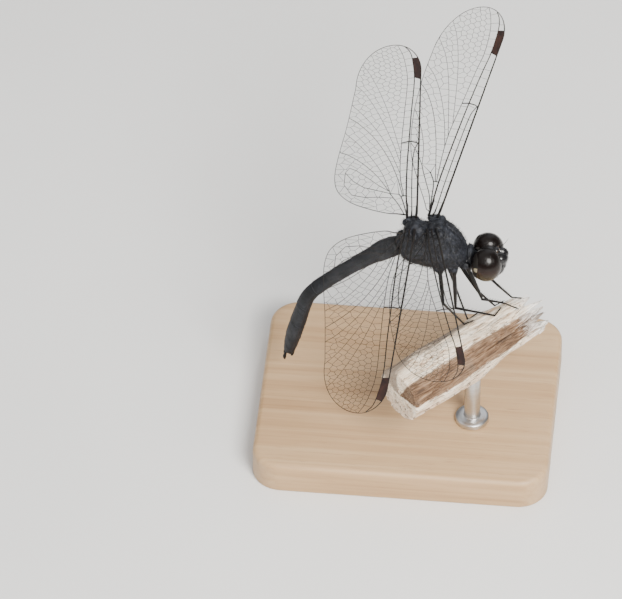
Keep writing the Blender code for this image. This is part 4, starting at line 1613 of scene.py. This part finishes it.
def makeHeadSkin(finish):
    # lumps for each plate of the head, fused into one skin and eased
    lumps = []
    for centre, sizes in head["lumps"]:
        for sign in bothSides(centre):
            lumps.append(lump(headPlace(centre, sign), sizes))
    skin = join("headSkin", lumps)
    modify(skin, "REMESH", mode="VOXEL", voxel_size=head["voxel"] * mm, adaptivity=0)
    modify(skin, "SMOOTH", factor=0.6, iterations=9)

    def height(place, normal):
        x, y, z = place - head["at"]
        rise = 0.010 * noise.noise(place * 4)
        # a hollow nape, a groove down the forehead and the lines across the face
        if x < -0.9:
            rise -= 0.45 * math.exp(-((y / 0.85) ** 2) - ((z + 0.1) / 0.8) ** 2) * smoothStep(-0.9, -1.2, x)
        if x > 0.5:
            before, front = smoothStep(0.5, 0.9, x), smoothStep(0.8, 1.2, x)
            rise -= 0.09 * bell(y, 0.11) * before * smoothStep(0.1, 0.5, z) * (z < 1.05)
            rise -= 0.05 * bell(z + 1.42, 0.05) * before
            for high, bow, wide, deep in head["faceLines"]:
                rise -= front * deep * bell(z - high - bow * y * y, wide)
            rise += 0.05 * bell(z + 0.78, 0.10) * front * smoothStep(0.9, 0.3, abs(y))
        return rise

    raiseSkin(skin, height)
    return settle(skin, finish, "body_shell", "head", smooth=60)


def eyePlace(sign, u, v):
    # poles fore and aft; flat where the two eyes meet, with a small round at that edge
    polar, angle = math.pi * u, 2 * math.pi * v
    half, gap, rounding = head["eyeHalf"], head["eyeGap"], head["eyeRound"]
    x = -half[0] * math.cos(polar)
    y = half[1] * math.sin(polar) * math.cos(angle)
    z = half[2] * math.sin(polar) * math.sin(angle)
    turn = math.radians(head["eyeLean"] * sign)
    y, z = y * math.cos(turn) - z * math.sin(turn), y * math.sin(turn) + z * math.cos(turn)
    place = Vector((x, y, z)) + mirrored(head["eyeAt"], sign)
    inner = place.y * sign
    if inner < gap + rounding:
        inner = gap + rounding * math.exp((inner - gap - rounding) / rounding)
    place.y = inner * sign
    return headPlace(place)


def makeEyes(finish):
    for side, sign in (("left", 1), ("right", -1)):
        eye = gridSheet("eye_" + side + "_lens", 150, 150, lambda u, v: eyePlace(sign, u, v))
        settle(eye, finish, "eye", "eye_" + side, smooth=70)


def makeOcelli(finish):
    beads = []
    for place in head["ocelli"]:
        for sign in bothSides(place):
            beads.append(lump(headPlace(place, sign), [head["ocellusRadius"]] * 3, detail=3))
    settle(join("ocelli", beads), finish, "eye")


def makeAntennae(finish):
    steps, start = antenna["whipSteps"], antenna["whipFrom"]
    thick, thin = antenna["whipRadii"]
    for side, sign in (("left", 1), ("right", -1)):
        foot = headPlace(antenna["at"], sign)
        reach = mirrored(antenna["aim"], sign).normalized() * antenna["length"]
        bow = mirrored(antenna["bow"], sign)
        base = [foot + reach * t for t, _ in antenna["base"]], [radius for _, radius in antenna["base"]]
        whip, widths = [], []
        for k in range(steps + 1):
            t = k / steps
            whip.append(foot + reach * (start + (1 - start) * t) + bow * math.sin(math.pi * t))
            joint = 1 + 0.18 * (k % 3 == 0)
            widths.append((thick + (thin - thick) * t) * joint)
        name = "antenna_" + side
        settle(rods(name + "_whip", [base, (whip, widths)], 2), finish, "black_shell", name)


# legs

legs = {
    # coxa and knee from the thorax's middle; ankle and toe as (along the perch, degrees round it)
    "front_left": ((3.35, 0.72, -2.75), (6.25, 0.55, -6.20), (1.55, 28), (2.05, 8)),
    "front_right": ((3.35, -0.72, -2.75), (4.92, -0.90, -7.00), (0.25, 20), (0.80, -10)),
    "middle_left": ((2.05, 0.90, -3.20), (4.35, 0.10, -6.85), (0.20, 62), (0.95, 48)),
    "middle_right": ((2.05, -0.90, -3.20), (2.32, -1.95, -7.45), (-1.75, 2), (-0.55, 12)),
    "hind_left": ((0.60, 0.95, -3.25), (1.00, 3.30, -6.60), (-3.00, 72), (-1.90, 62)),
    "hind_right": ((0.60, -0.95, -3.25), (1.30, -4.80, -4.10), (-4.90, 24), (-3.90, 22)),
}

legBuild = {
    # radii along each joint
    "coxa": (0.30, 0.36, 0.30, 0.20),
    "ring": (0.17, 0.20, 0.18),
    "thigh": (0.205, 0.215, 0.175, 0.125),
    "shin": (0.145, 0.112, 0.102, 0.088),
    "foot": (0.052, 0.068, 0.070),
    "coxaLong": 0.52,  # from the hip along the thigh, and the ring's end after it
    "ringEnd": 0.78,
    "footShares": (0.20, 0.30, 0.50),  # the three foot joints, the last the longest
    "tread": 0.075,  # from the perch's skin to the middle of the foot
    "claw": 0.24,
    "clawSplay": 0.10,
    "clawRadii": (0.030, 0.004),
    "clawSteps": 7,
    # spines: how many, where along the joint, their shortest and longest, and how far they slant
    "thighSpines": (11, (0.15, 0.93), (0.07, 0.20), 0.9),
    "shinSpines": ((0.10, 0.95), (0.20, 0.46), 0.75),
    "shinSpineGap": 0.42,
    "footSpines": 5,
}


def limbStroke(start, end, radii, count):
    # a joint of a limb with its radii shared out evenly, both ends drawn in
    places, widths = [], []
    table = [(k / (len(radii) - 1), radius) for k, radius in enumerate(radii)]
    for k in range(count + 1):
        places.append(start.lerp(end, k / count))
        widths.append(readTable(table, k / count)[0])
    ahead = (end - start).normalized()
    first, last = widths[0], widths[-1]
    places = [start - ahead * first * 0.75, start - ahead * first * 0.55] + places
    places += [end + ahead * last * 0.55, end + ahead * last * 0.75]
    return places, [first * 0.35, first * 0.8] + widths + [last * 0.8, last * 0.35]


def spineRow(start, end, radius, out, count, along, lengths, forward):
    # spines along one side of a limb, slanting towards its end
    row = []
    ahead = (end - start).normalized()
    for k in range(count):
        t = along[0] + (along[1] - along[0]) * k / (count - 1)
        length = lengths[0] + (lengths[1] - lengths[0]) * math.sin(math.pi * (0.2 + 0.7 * k / count))
        foot = start.lerp(end, t) + out * radius * 0.7
        row.append(aimed(foot, (out + ahead * forward).normalized(), length, 0.017 + 0.02 * length))
    return row


def clawStrokes(toe, ground, across, away):
    # two claws, splayed and hooked down into the wood
    thick, thin = legBuild["clawRadii"]
    steps = legBuild["clawSteps"]
    shares = [k / steps for k in range(steps + 1)]
    strokes = []
    for turn in (1, -1):
        hook = []
        for t in shares:
            lift = 0.03 * math.sin(math.pi * t) - 0.085 * t * t
            hook.append(
                toe + ground * legBuild["claw"] * t + across * turn * legBuild["clawSplay"] * t + away * lift
            )
        strokes.append((hook, [thick + (thin - thick) * t for t in shares]))
    return strokes


def makeLeg(name, plan, finish):
    hip, knee, (ankleAlong, ankleTurn), (toeAlong, toeTurn) = plan
    hip, knee, tread = Vector(hip), Vector(knee), legBuild["tread"]
    ankle = perchPoint(ankleAlong, math.radians(ankleTurn), tread + 0.02)
    toe = perchPoint(toeAlong, math.radians(toeTurn), tread)
    away = perchPoint(toeAlong, math.radians(toeTurn), 1.0) - perchPoint(toeAlong, math.radians(toeTurn))
    thighAhead = (knee - hip).normalized()
    shinAhead = (ankle - knee).normalized()
    ground = (toe - ankle).normalized()
    across = ground.cross(away).normalized()
    sign = 1 if hip.y > 0 else -1

    coxaEnd = hip + thighAhead * legBuild["coxaLong"] + Vector((0, 0.03 * sign, -0.05))
    thighFoot = hip + thighAhead * legBuild["ringEnd"]
    thighEnd = knee - thighAhead * 0.05
    strokes = [
        limbStroke(hip + Vector((0, -0.1 * sign, 0.35)), coxaEnd, legBuild["coxa"], 8),
        limbStroke(coxaEnd, thighFoot, legBuild["ring"], 6),
        limbStroke(thighFoot, thighEnd, legBuild["thigh"], 16),
        limbStroke(knee, ankle, legBuild["shin"], 16),
    ]
    at = ankle
    for share in legBuild["footShares"]:
        after = at + (toe - ankle) * share
        strokes.append(limbStroke(at, after, legBuild["foot"], 6))
        at = after
    strokes += clawStrokes(toe, ground, across, away)
    limb = rods("leg_" + name + "_limb", strokes, 2)

    # two rows of spines under the shin, two under the thigh, and pairs along the foot
    side = thighAhead.cross(shinAhead).normalized()
    inner = side.cross(shinAhead).normalized()
    spines = []
    shinCount = max(5, round((ankle - knee).length / legBuild["shinSpineGap"]))
    for turn in (1, -1):
        out = (inner + side * turn * 0.85).normalized()
        spines += spineRow(knee, ankle, 0.09, out, shinCount, *legBuild["shinSpines"])
        out = (side.cross(thighAhead).normalized() + side * turn * 0.5).normalized()
        spines += spineRow(thighFoot, thighEnd, 0.17, out, *legBuild["thighSpines"])
    for k in range(legBuild["footSpines"]):
        foot = ankle.lerp(toe, 0.15 + 0.18 * k) - away * 0.03
        for turn in (1, -1):
            spines.append(aimed(foot, ground + across * turn * 0.9 - away * 0.2, 0.10, 0.012))
    limb = join("leg_" + name + "_limb", [limb, stamp("spines", spikeTemplate(), spines)])
    settle(limb, finish, "black_shell", "leg_" + name + "_thigh", "leg_" + name + "_shin")


# wing roots: the stout starts of each wing's main veins

wingRoots = {
    # back from the front line at the shoulder and on the wing, where it ends, radii
    "veins": ((0.06, 0.02, 1.7, 0.14, 0.10), (0.55, 0.52, 1.1, 0.09, 0.06), (0.98, 0.98, 1.7, 0.13, 0.085)),
    "sunk": 0.45,
    "steps": 12,
}


def makeWingRoots(finish):
    strokes = []
    steps, sunk = wingRoots["steps"], wingRoots["sunk"]
    for wing in (foreWing, hindWing):
        for sign in (1, -1):
            for start, end, reach, first, last in wingRoots["veins"]:
                places, radii = [], []
                for k in range(steps + 1):
                    t = k / steps
                    s = (reach + sunk) * t - sunk
                    places.append(wingPlace(wing, sign, s, start + (end - start) * t, 0.02 * (1 - t)))
                    thick = first + (last - first) * smoothStep(0, 1, t)
                    radii.append(thick * (1 - smoothStep(0.8, 1.05, t)))
                strokes.append((places, radii))
    settle(rods("wingRoots", strokes, 2), finish, "black_shell", smooth=60)


# hairs: short bent bristles, rooted all over each skin

hairs = {
    # how many, shortest and longest, radius at the root, how far they stand up (0 flat, 1 upright)
    "thorax": (6200, 0.16, 0.44, 0.0085, 0.60),
    "abdomen": (4200, 0.09, 0.18, 0.0065, 0.42),
    "head": (1300, 0.10, 0.24, 0.0065, 0.60),
    "profile": ((1.0, 0), (0.82, 0.38), (0.5, 0.72), (0.06, 1.0)),  # shares of the radius and the length
    "bend": 3.52,  # how far the tip leans out, in radii
    "scatter": 0.22,
}


def hairTemplate():
    hair = turned("hair", Vector((0, 0, 0)), hairs["profile"], 3)
    for vertex in hair.data.vertices:
        vertex.co.x += hairs["bend"] * mm * (vertex.co.z / mm) ** 2
    return hair


def sowHairs(name, skin, finish, lie, mapAt, wanted):
    # lie(place) is the way they lean, mapAt(place) their place on an unwrap, wanted(place, normal) a chance
    count, shortest, longest, radius, upright = hairs[name]
    faces = skin.data.polygons
    areas, total = [], 0.0
    for face in faces:
        total += face.area * wanted(face.center / mm - middle, face.normal)
        areas.append(total)
    placements, roots = [], []
    for _ in range(count):
        face = faces[bisect.bisect_left(areas, chance.uniform(0, total))]
        corners = [skin.data.vertices[corner].co for corner in face.vertices]
        weights = [chance.random() for _ in corners]
        place = sum((c * w for c, w in zip(corners, weights)), Vector()) / sum(weights) / mm - middle
        flat = lie(place)
        flat = (flat - face.normal * flat.dot(face.normal)).normalized()
        scatter = Vector([chance.uniform(-1, 1) for _ in range(3)]) * hairs["scatter"]
        direction = (face.normal * upright + flat * (1 - upright) + scatter).normalized()
        length = chance.uniform(shortest, longest)
        roll = chance.uniform(0, 2 * math.pi)
        placements.append(aimed(place - face.normal * 0.02, direction, length, radius, roll))
        roots.append(mapAt(place))
    coat = stamp(name + "Hairs", hairTemplate(), placements, roots)
    settle(coat, finish, "body_shell", smooth=80)


def roundMap(share, across, high):
    # a place on a sheet unrolled round a body, its seam along the belly, with a margin at its edges
    margin = 0.02
    turn = math.atan2(across, -high) / (2 * math.pi) + 0.5
    return tuple(margin + (1 - 2 * margin) * min(max(value, 0), 1) for value in (share, turn))


def outsideEyes(place):
    rest = place - head["at"]
    for sign in (1, -1):
        off = rest - mirrored(head["eyeAt"], sign)
        if sum((off[k] / head["eyeHalf"][k]) ** 2 for k in range(3)) < 1.10:
            return False
    return True


def makeHairs(thoraxSkin, abdomenSkin, headSkin, line):
    finish = hairFinish()
    length = thorax["front"] - thorax["back"]
    sowHairs(
        "thorax", thoraxSkin, finish,
        lambda place: Vector((-0.85, 0, -0.5)),
        lambda place: roundMap((place.x - thorax["back"]) / length, place.y, place.z + 0.4),
        lambda place, normal: 0.35 + 0.65 * smoothStep(-0.2, 0.5, abs(normal.y) + max(normal.x, 0)),
    )
    count = 60
    shares = [k / count for k in range(count + 1)]
    marks = [(share, *abdomenFrame(line, sum(abdomen["segments"]) * share)) for share in shares]

    def nearest(place):
        return min(marks, key=lambda mark: (mark[1] - place).length_squared)

    def abdomenMap(place):
        share, at, _, above = nearest(place)
        return roundMap(share, (place - at).y, (place - at).dot(above))

    sowHairs(
        "abdomen", abdomenSkin, finish, lambda place: nearest(place)[2], abdomenMap,
        lambda place, normal: 1.0 if place.x < thorax["back"] + 0.02 else 0.0,
    )
    sowHairs(
        "head", headSkin, finish,
        lambda place: Vector((-0.3, 0, -1)),
        lambda place: roundMap((place.x - head["at"].x + 1.8) / 3.8, place.y, place.z - head["at"].z),
        lambda place, normal: 1.0 if outsideEyes(place) else 0.0,
    )


# finishes of the body

def bloomColour(paint):
    # slate blue-grey bloom over a black shell, in blotches, with scattered dark and pale flecks
    broad = paint.noise(paint.place(), 0.75, 3, 0.6)
    fine = paint.noise(paint.place(location=(0, 4, 2)), 2.4, 4, 0.62)
    bloom = paint.ramp(
        broad * 0.5 + fine * 0.5,
        (0.38, (0.0040, 0.0040, 0.0055)),
        (0.47, (0.0095, 0.0105, 0.0140)),
        (0.56, (0.0200, 0.0220, 0.0290)),
        (0.68, (0.0420, 0.0455, 0.0550)),
    )
    pale = paint.between(paint.noise(paint.place(), 5.2, 2, 0.5), 0.60, 0.70)
    dark = paint.between(paint.noise(paint.place(location=(3, 1, 7)), 3.4, 2, 0.5), 0.57, 0.66)
    colour = paint.blend(pale * 0.4, bloom, (0.085, 0.088, 0.088))
    return paint.blend(dark * 0.85, colour, (0.0030, 0.0030, 0.0040)), fine


def shellFinish():
    paint = Paint("slateShell", (0.02, 0.02, 0.03), 0.58)
    paint.give("Specular IOR Level", 0.28)
    colour, fine = bloomColour(paint)
    grain = paint.noise(paint.place(), 9.0, 2, 0.5)
    paint.colour(colour)
    paint.rough(0.50 + fine * 0.22)
    paint.relief(fine * 0.55 + grain * 0.45, 0.045, 0.7)
    return paint.material


def hairFinish():
    # the skin's own markings, a little darker
    paint = Paint("bodyHair", (0.02, 0.02, 0.025), 0.62)
    paint.give("Specular IOR Level", 0.2)
    colour, fine = bloomColour(paint)
    paint.colour(paint.blend(0.35, colour, (0.010, 0.0095, 0.010)))
    paint.rough(0.56 + fine * 0.16)
    return paint.material


def abdomenFinish():
    # darker than the thorax, with a black line along the back
    paint = Paint("slateAbdomen", (0.02, 0.02, 0.025), 0.50)
    paint.give("Specular IOR Level", 0.3)
    broad = paint.noise(paint.place(), 0.5, 3, 0.55)
    fine = paint.noise(paint.place(), 3.4, 4, 0.62)
    bloom = paint.ramp(
        broad * 0.5 + fine * 0.5,
        (0.36, (0.004, 0.004, 0.005)),
        (0.50, (0.010, 0.011, 0.014)),
        (0.68, (0.028, 0.030, 0.036)),
    )
    side = paint.axis(paint.place(), "Y").size()
    ridge = paint.between(side, 0.10, 0.22, 1, 0)
    paint.colour(paint.blend(ridge * 0.6, bloom, (0.008, 0.008, 0.011)))
    paint.rough(0.44 + fine * 0.24)
    paint.relief(fine, 0.035, 0.6)
    return paint.material


def headCoordinates(paint):
    return paint.place(location=-(middle + head["at"]))


def headFinish():
    # polished black forehead and face, duller nape, cream spots behind the eyes
    paint = Paint("headShell", (0.012, 0.011, 0.012), 0.2)
    place = headCoordinates(paint)
    x, y, z = (paint.axis(place, name) for name in "XYZ")
    fine = paint.noise(place, 4.0, 3, 0.55)
    behind = paint.between(x + (fine - 0.5) * 0.2, 0.10, -0.25)
    colour = paint.blend(behind, (0.0040, 0.0035, 0.0040), (0.010, 0.0085, 0.0075))
    lip = paint.between(z, -0.95, -1.25) * (1 - behind)
    colour = paint.blend(lip * 0.7, colour, (0.012, 0.0065, 0.0045))
    acrossEye = (y.size() - 2.38) * (1 / 0.22)
    highEye = (z - 0.40) * (1 / 0.24)
    spot = paint.between(acrossEye * acrossEye + highEye * highEye + (fine - 0.5) * 0.8, 1.2, 0.7)
    colour = paint.blend(spot * behind, colour, (0.22, 0.19, 0.13))
    paint.colour(colour)
    paint.give("Specular IOR Level", 0.12)
    paint.give("Coat Weight", (1 - behind) * 0.9)
    paint.give("Coat Roughness", 0.12)
    paint.rough(0.36 + behind * 0.22 + fine * 0.08)
    paint.relief(fine, 0.02, 0.35)
    return paint.material


def eyeFinish():
    # black-brown above, reddish then olive below, in fine facets
    paint = Paint("compoundEye", (0.03, 0.015, 0.012), 0.12)
    paint.give("Specular IOR Level", 0.1)
    paint.give("Coat Weight", 0.40)
    paint.give("Coat Roughness", 0.20)
    paint.give("Coat IOR", 1.4)
    place = headCoordinates(paint)
    z = paint.axis(place, "Z")
    y = paint.axis(place, "Y").size()
    mottle = paint.noise(place, 1.6, 3, 0.6)
    down = z * 0.85 - y * 0.35 + (mottle - 0.5) * 0.55
    colour = paint.ramp(
        paint.between(down, -1.9, 1.0),
        (0.0, (0.030, 0.026, 0.012)),
        (0.22, (0.021, 0.013, 0.006)),
        (0.42, (0.013, 0.0045, 0.0025)),
        (0.62, (0.0045, 0.0017, 0.0012)),
        (0.85, (0.0016, 0.0009, 0.0009)),
    )
    spots = paint.between(paint.noise(paint.place(location=(5, 2, 1)), 2.4, 2, 0.5), 0.58, 0.66)
    low = paint.between(down, 0.1, -0.5)
    colour = paint.blend(spots * low * 0.7, colour, (0.012, 0.007, 0.006))
    facets = paint.cells(place, 26.0, "DISTANCE_TO_EDGE", 0.25)
    edge = paint.between(facets, 0.0, 0.12)
    paint.colour(paint.blend((1 - edge) * 0.30, colour, (0.030, 0.018, 0.012)))
    paint.rough(0.10 + (1 - edge) * 0.12)
    paint.relief(edge, 0.006, 0.5)
    return paint.material


def blackFinish():
    # black leg shell with a brown cast where it is thin
    paint = Paint("blackShell", (0.012, 0.010, 0.010), 0.30)
    tone = paint.noise(paint.place(), 2.0, 3, 0.55)
    paint.give("Specular IOR Level", 0.22)
    paint.colour(paint.ramp(tone, (0.40, (0.0030, 0.0028, 0.0030)), (0.66, (0.0110, 0.0080, 0.0068))))
    paint.rough(0.32 + tone * 0.18)
    paint.relief(tone, 0.02, 0.4)
    return paint.material


def ocelliFinish():
    paint = Paint("ocelli", (0.05, 0.03, 0.02), 0.06)
    tone = paint.noise(paint.place(), 6.0, 2, 0.5)
    paint.colour(paint.ramp(tone, (0.4, (0.035, 0.022, 0.016)), (0.7, (0.10, 0.07, 0.045))))
    return paint.material


def makeBody():
    shell = shellFinish()
    black = blackFinish()
    thoraxSkin = makeThorax(shell)
    makeWingRoots(black)
    abdomenSkin, line = makeAbdomen(abdomenFinish())
    makeClaspers(line, black)
    say("trunk done")
    headSkin = makeHeadSkin(headFinish())
    makeEyes(eyeFinish())
    makeOcelli(ocelliFinish())
    makeAntennae(black)
    say("head done")
    for name, plan in legs.items():
        makeLeg(name, plan, black)
    say("legs done")
    return thoraxSkin, abdomenSkin, headSkin, line


makeHairs(*makeBody())
say("hairs done")


# room, lights and camera

studio = {
    "floorHalf": 0.6,
    "azimuth": 5.6,
    "elevation": 45.0,
    "lens": 500.0,
    "sensor": 36.0,
    "wide": 62.2,  # millimetres across the view at the thorax
    "aimRight": -12.4,
    "aimUp": -5.95,
    "heart": (0, 0, -4),  # what the lights are aimed at
    # azimuth, elevation, distance and size across in metres, watts, colour
    "lights": {
        "keyLight": (29, 42, 0.34, 0.165, 2.6, (1.0, 0.98, 0.94)),
        "topLight": (-50, 70, 1.0, 2.4, 12.5, (1.0, 0.99, 0.97)),
        "backLight": (165, 40, 0.45, 0.40, 0.45, (0.95, 0.97, 1.0)),
    },
    "air": 0.26,
    "airColour": (0.93, 0.95, 1.0, 1),
}


def floorFinish():
    paint = Paint("paleFloor", (0.80, 0.79, 0.77), 0.85)
    mottle = paint.noise(paint.place(), 0.02, 3, 0.5)
    paint.colour(paint.ramp(mottle, (0.3, (0.77, 0.765, 0.75)), (0.7, (0.82, 0.815, 0.80))))
    return paint.material


def makeFloor():
    pick()
    bpy.ops.mesh.primitive_plane_add(size=studio["floorHalf"] * 2, location=(0, 0, cadBox[0].z))
    floor = bpy.context.object
    floor.name = "floor"
    floor.data.materials.append(floorFinish())


def awayFrom(azimuth, elevation):
    # the direction of a light or the camera, in degrees round from the right side and up
    turn, rise = math.radians(azimuth), math.radians(elevation)
    return Vector((math.sin(turn) * math.cos(rise), -math.cos(turn) * math.cos(rise), math.sin(rise)))


def makeLights():
    heart = real(studio["heart"])
    for name, (azimuth, elevation, far, size, power, colour) in studio["lights"].items():
        away = awayFrom(azimuth, elevation)
        bpy.ops.object.light_add(type="AREA", location=heart + away * far)
        light = bpy.context.object
        light.name = name
        light.data.shape = "DISK"
        light.data.size = size
        light.data.energy = power
        light.data.color = colour
        light.rotation_euler = away.to_track_quat("Z", "Y").to_euler()
    world = bpy.data.worlds.new("studioAir")
    bpy.context.scene.world = world
    world.use_nodes = True
    sky = world.node_tree.nodes["Background"].inputs
    sky["Color"].default_value = studio["airColour"]
    sky["Strength"].default_value = studio["air"]


def makeCamera():
    away = awayFrom(studio["azimuth"], studio["elevation"])
    right = up.cross(away).normalized()
    above = away.cross(right)
    far = studio["wide"] * studio["lens"] / studio["sensor"]
    place = real(right * studio["aimRight"] + above * studio["aimUp"] + away * far)
    camera = bpy.data.cameras.new("camera")
    camera.lens = studio["lens"]
    camera.sensor_width = studio["sensor"]
    camera.clip_start = 0.01
    camera.clip_end = 10
    eye = bpy.data.objects.new("camera", camera)
    bpy.context.scene.collection.objects.link(eye)
    eye.matrix_world = Matrix.Translation(place) @ Matrix((right, above, away)).transposed().to_4x4()
    bpy.context.scene.camera = eye


makeFloor()
makeLights()
makeCamera()
say("room, lights and camera done")
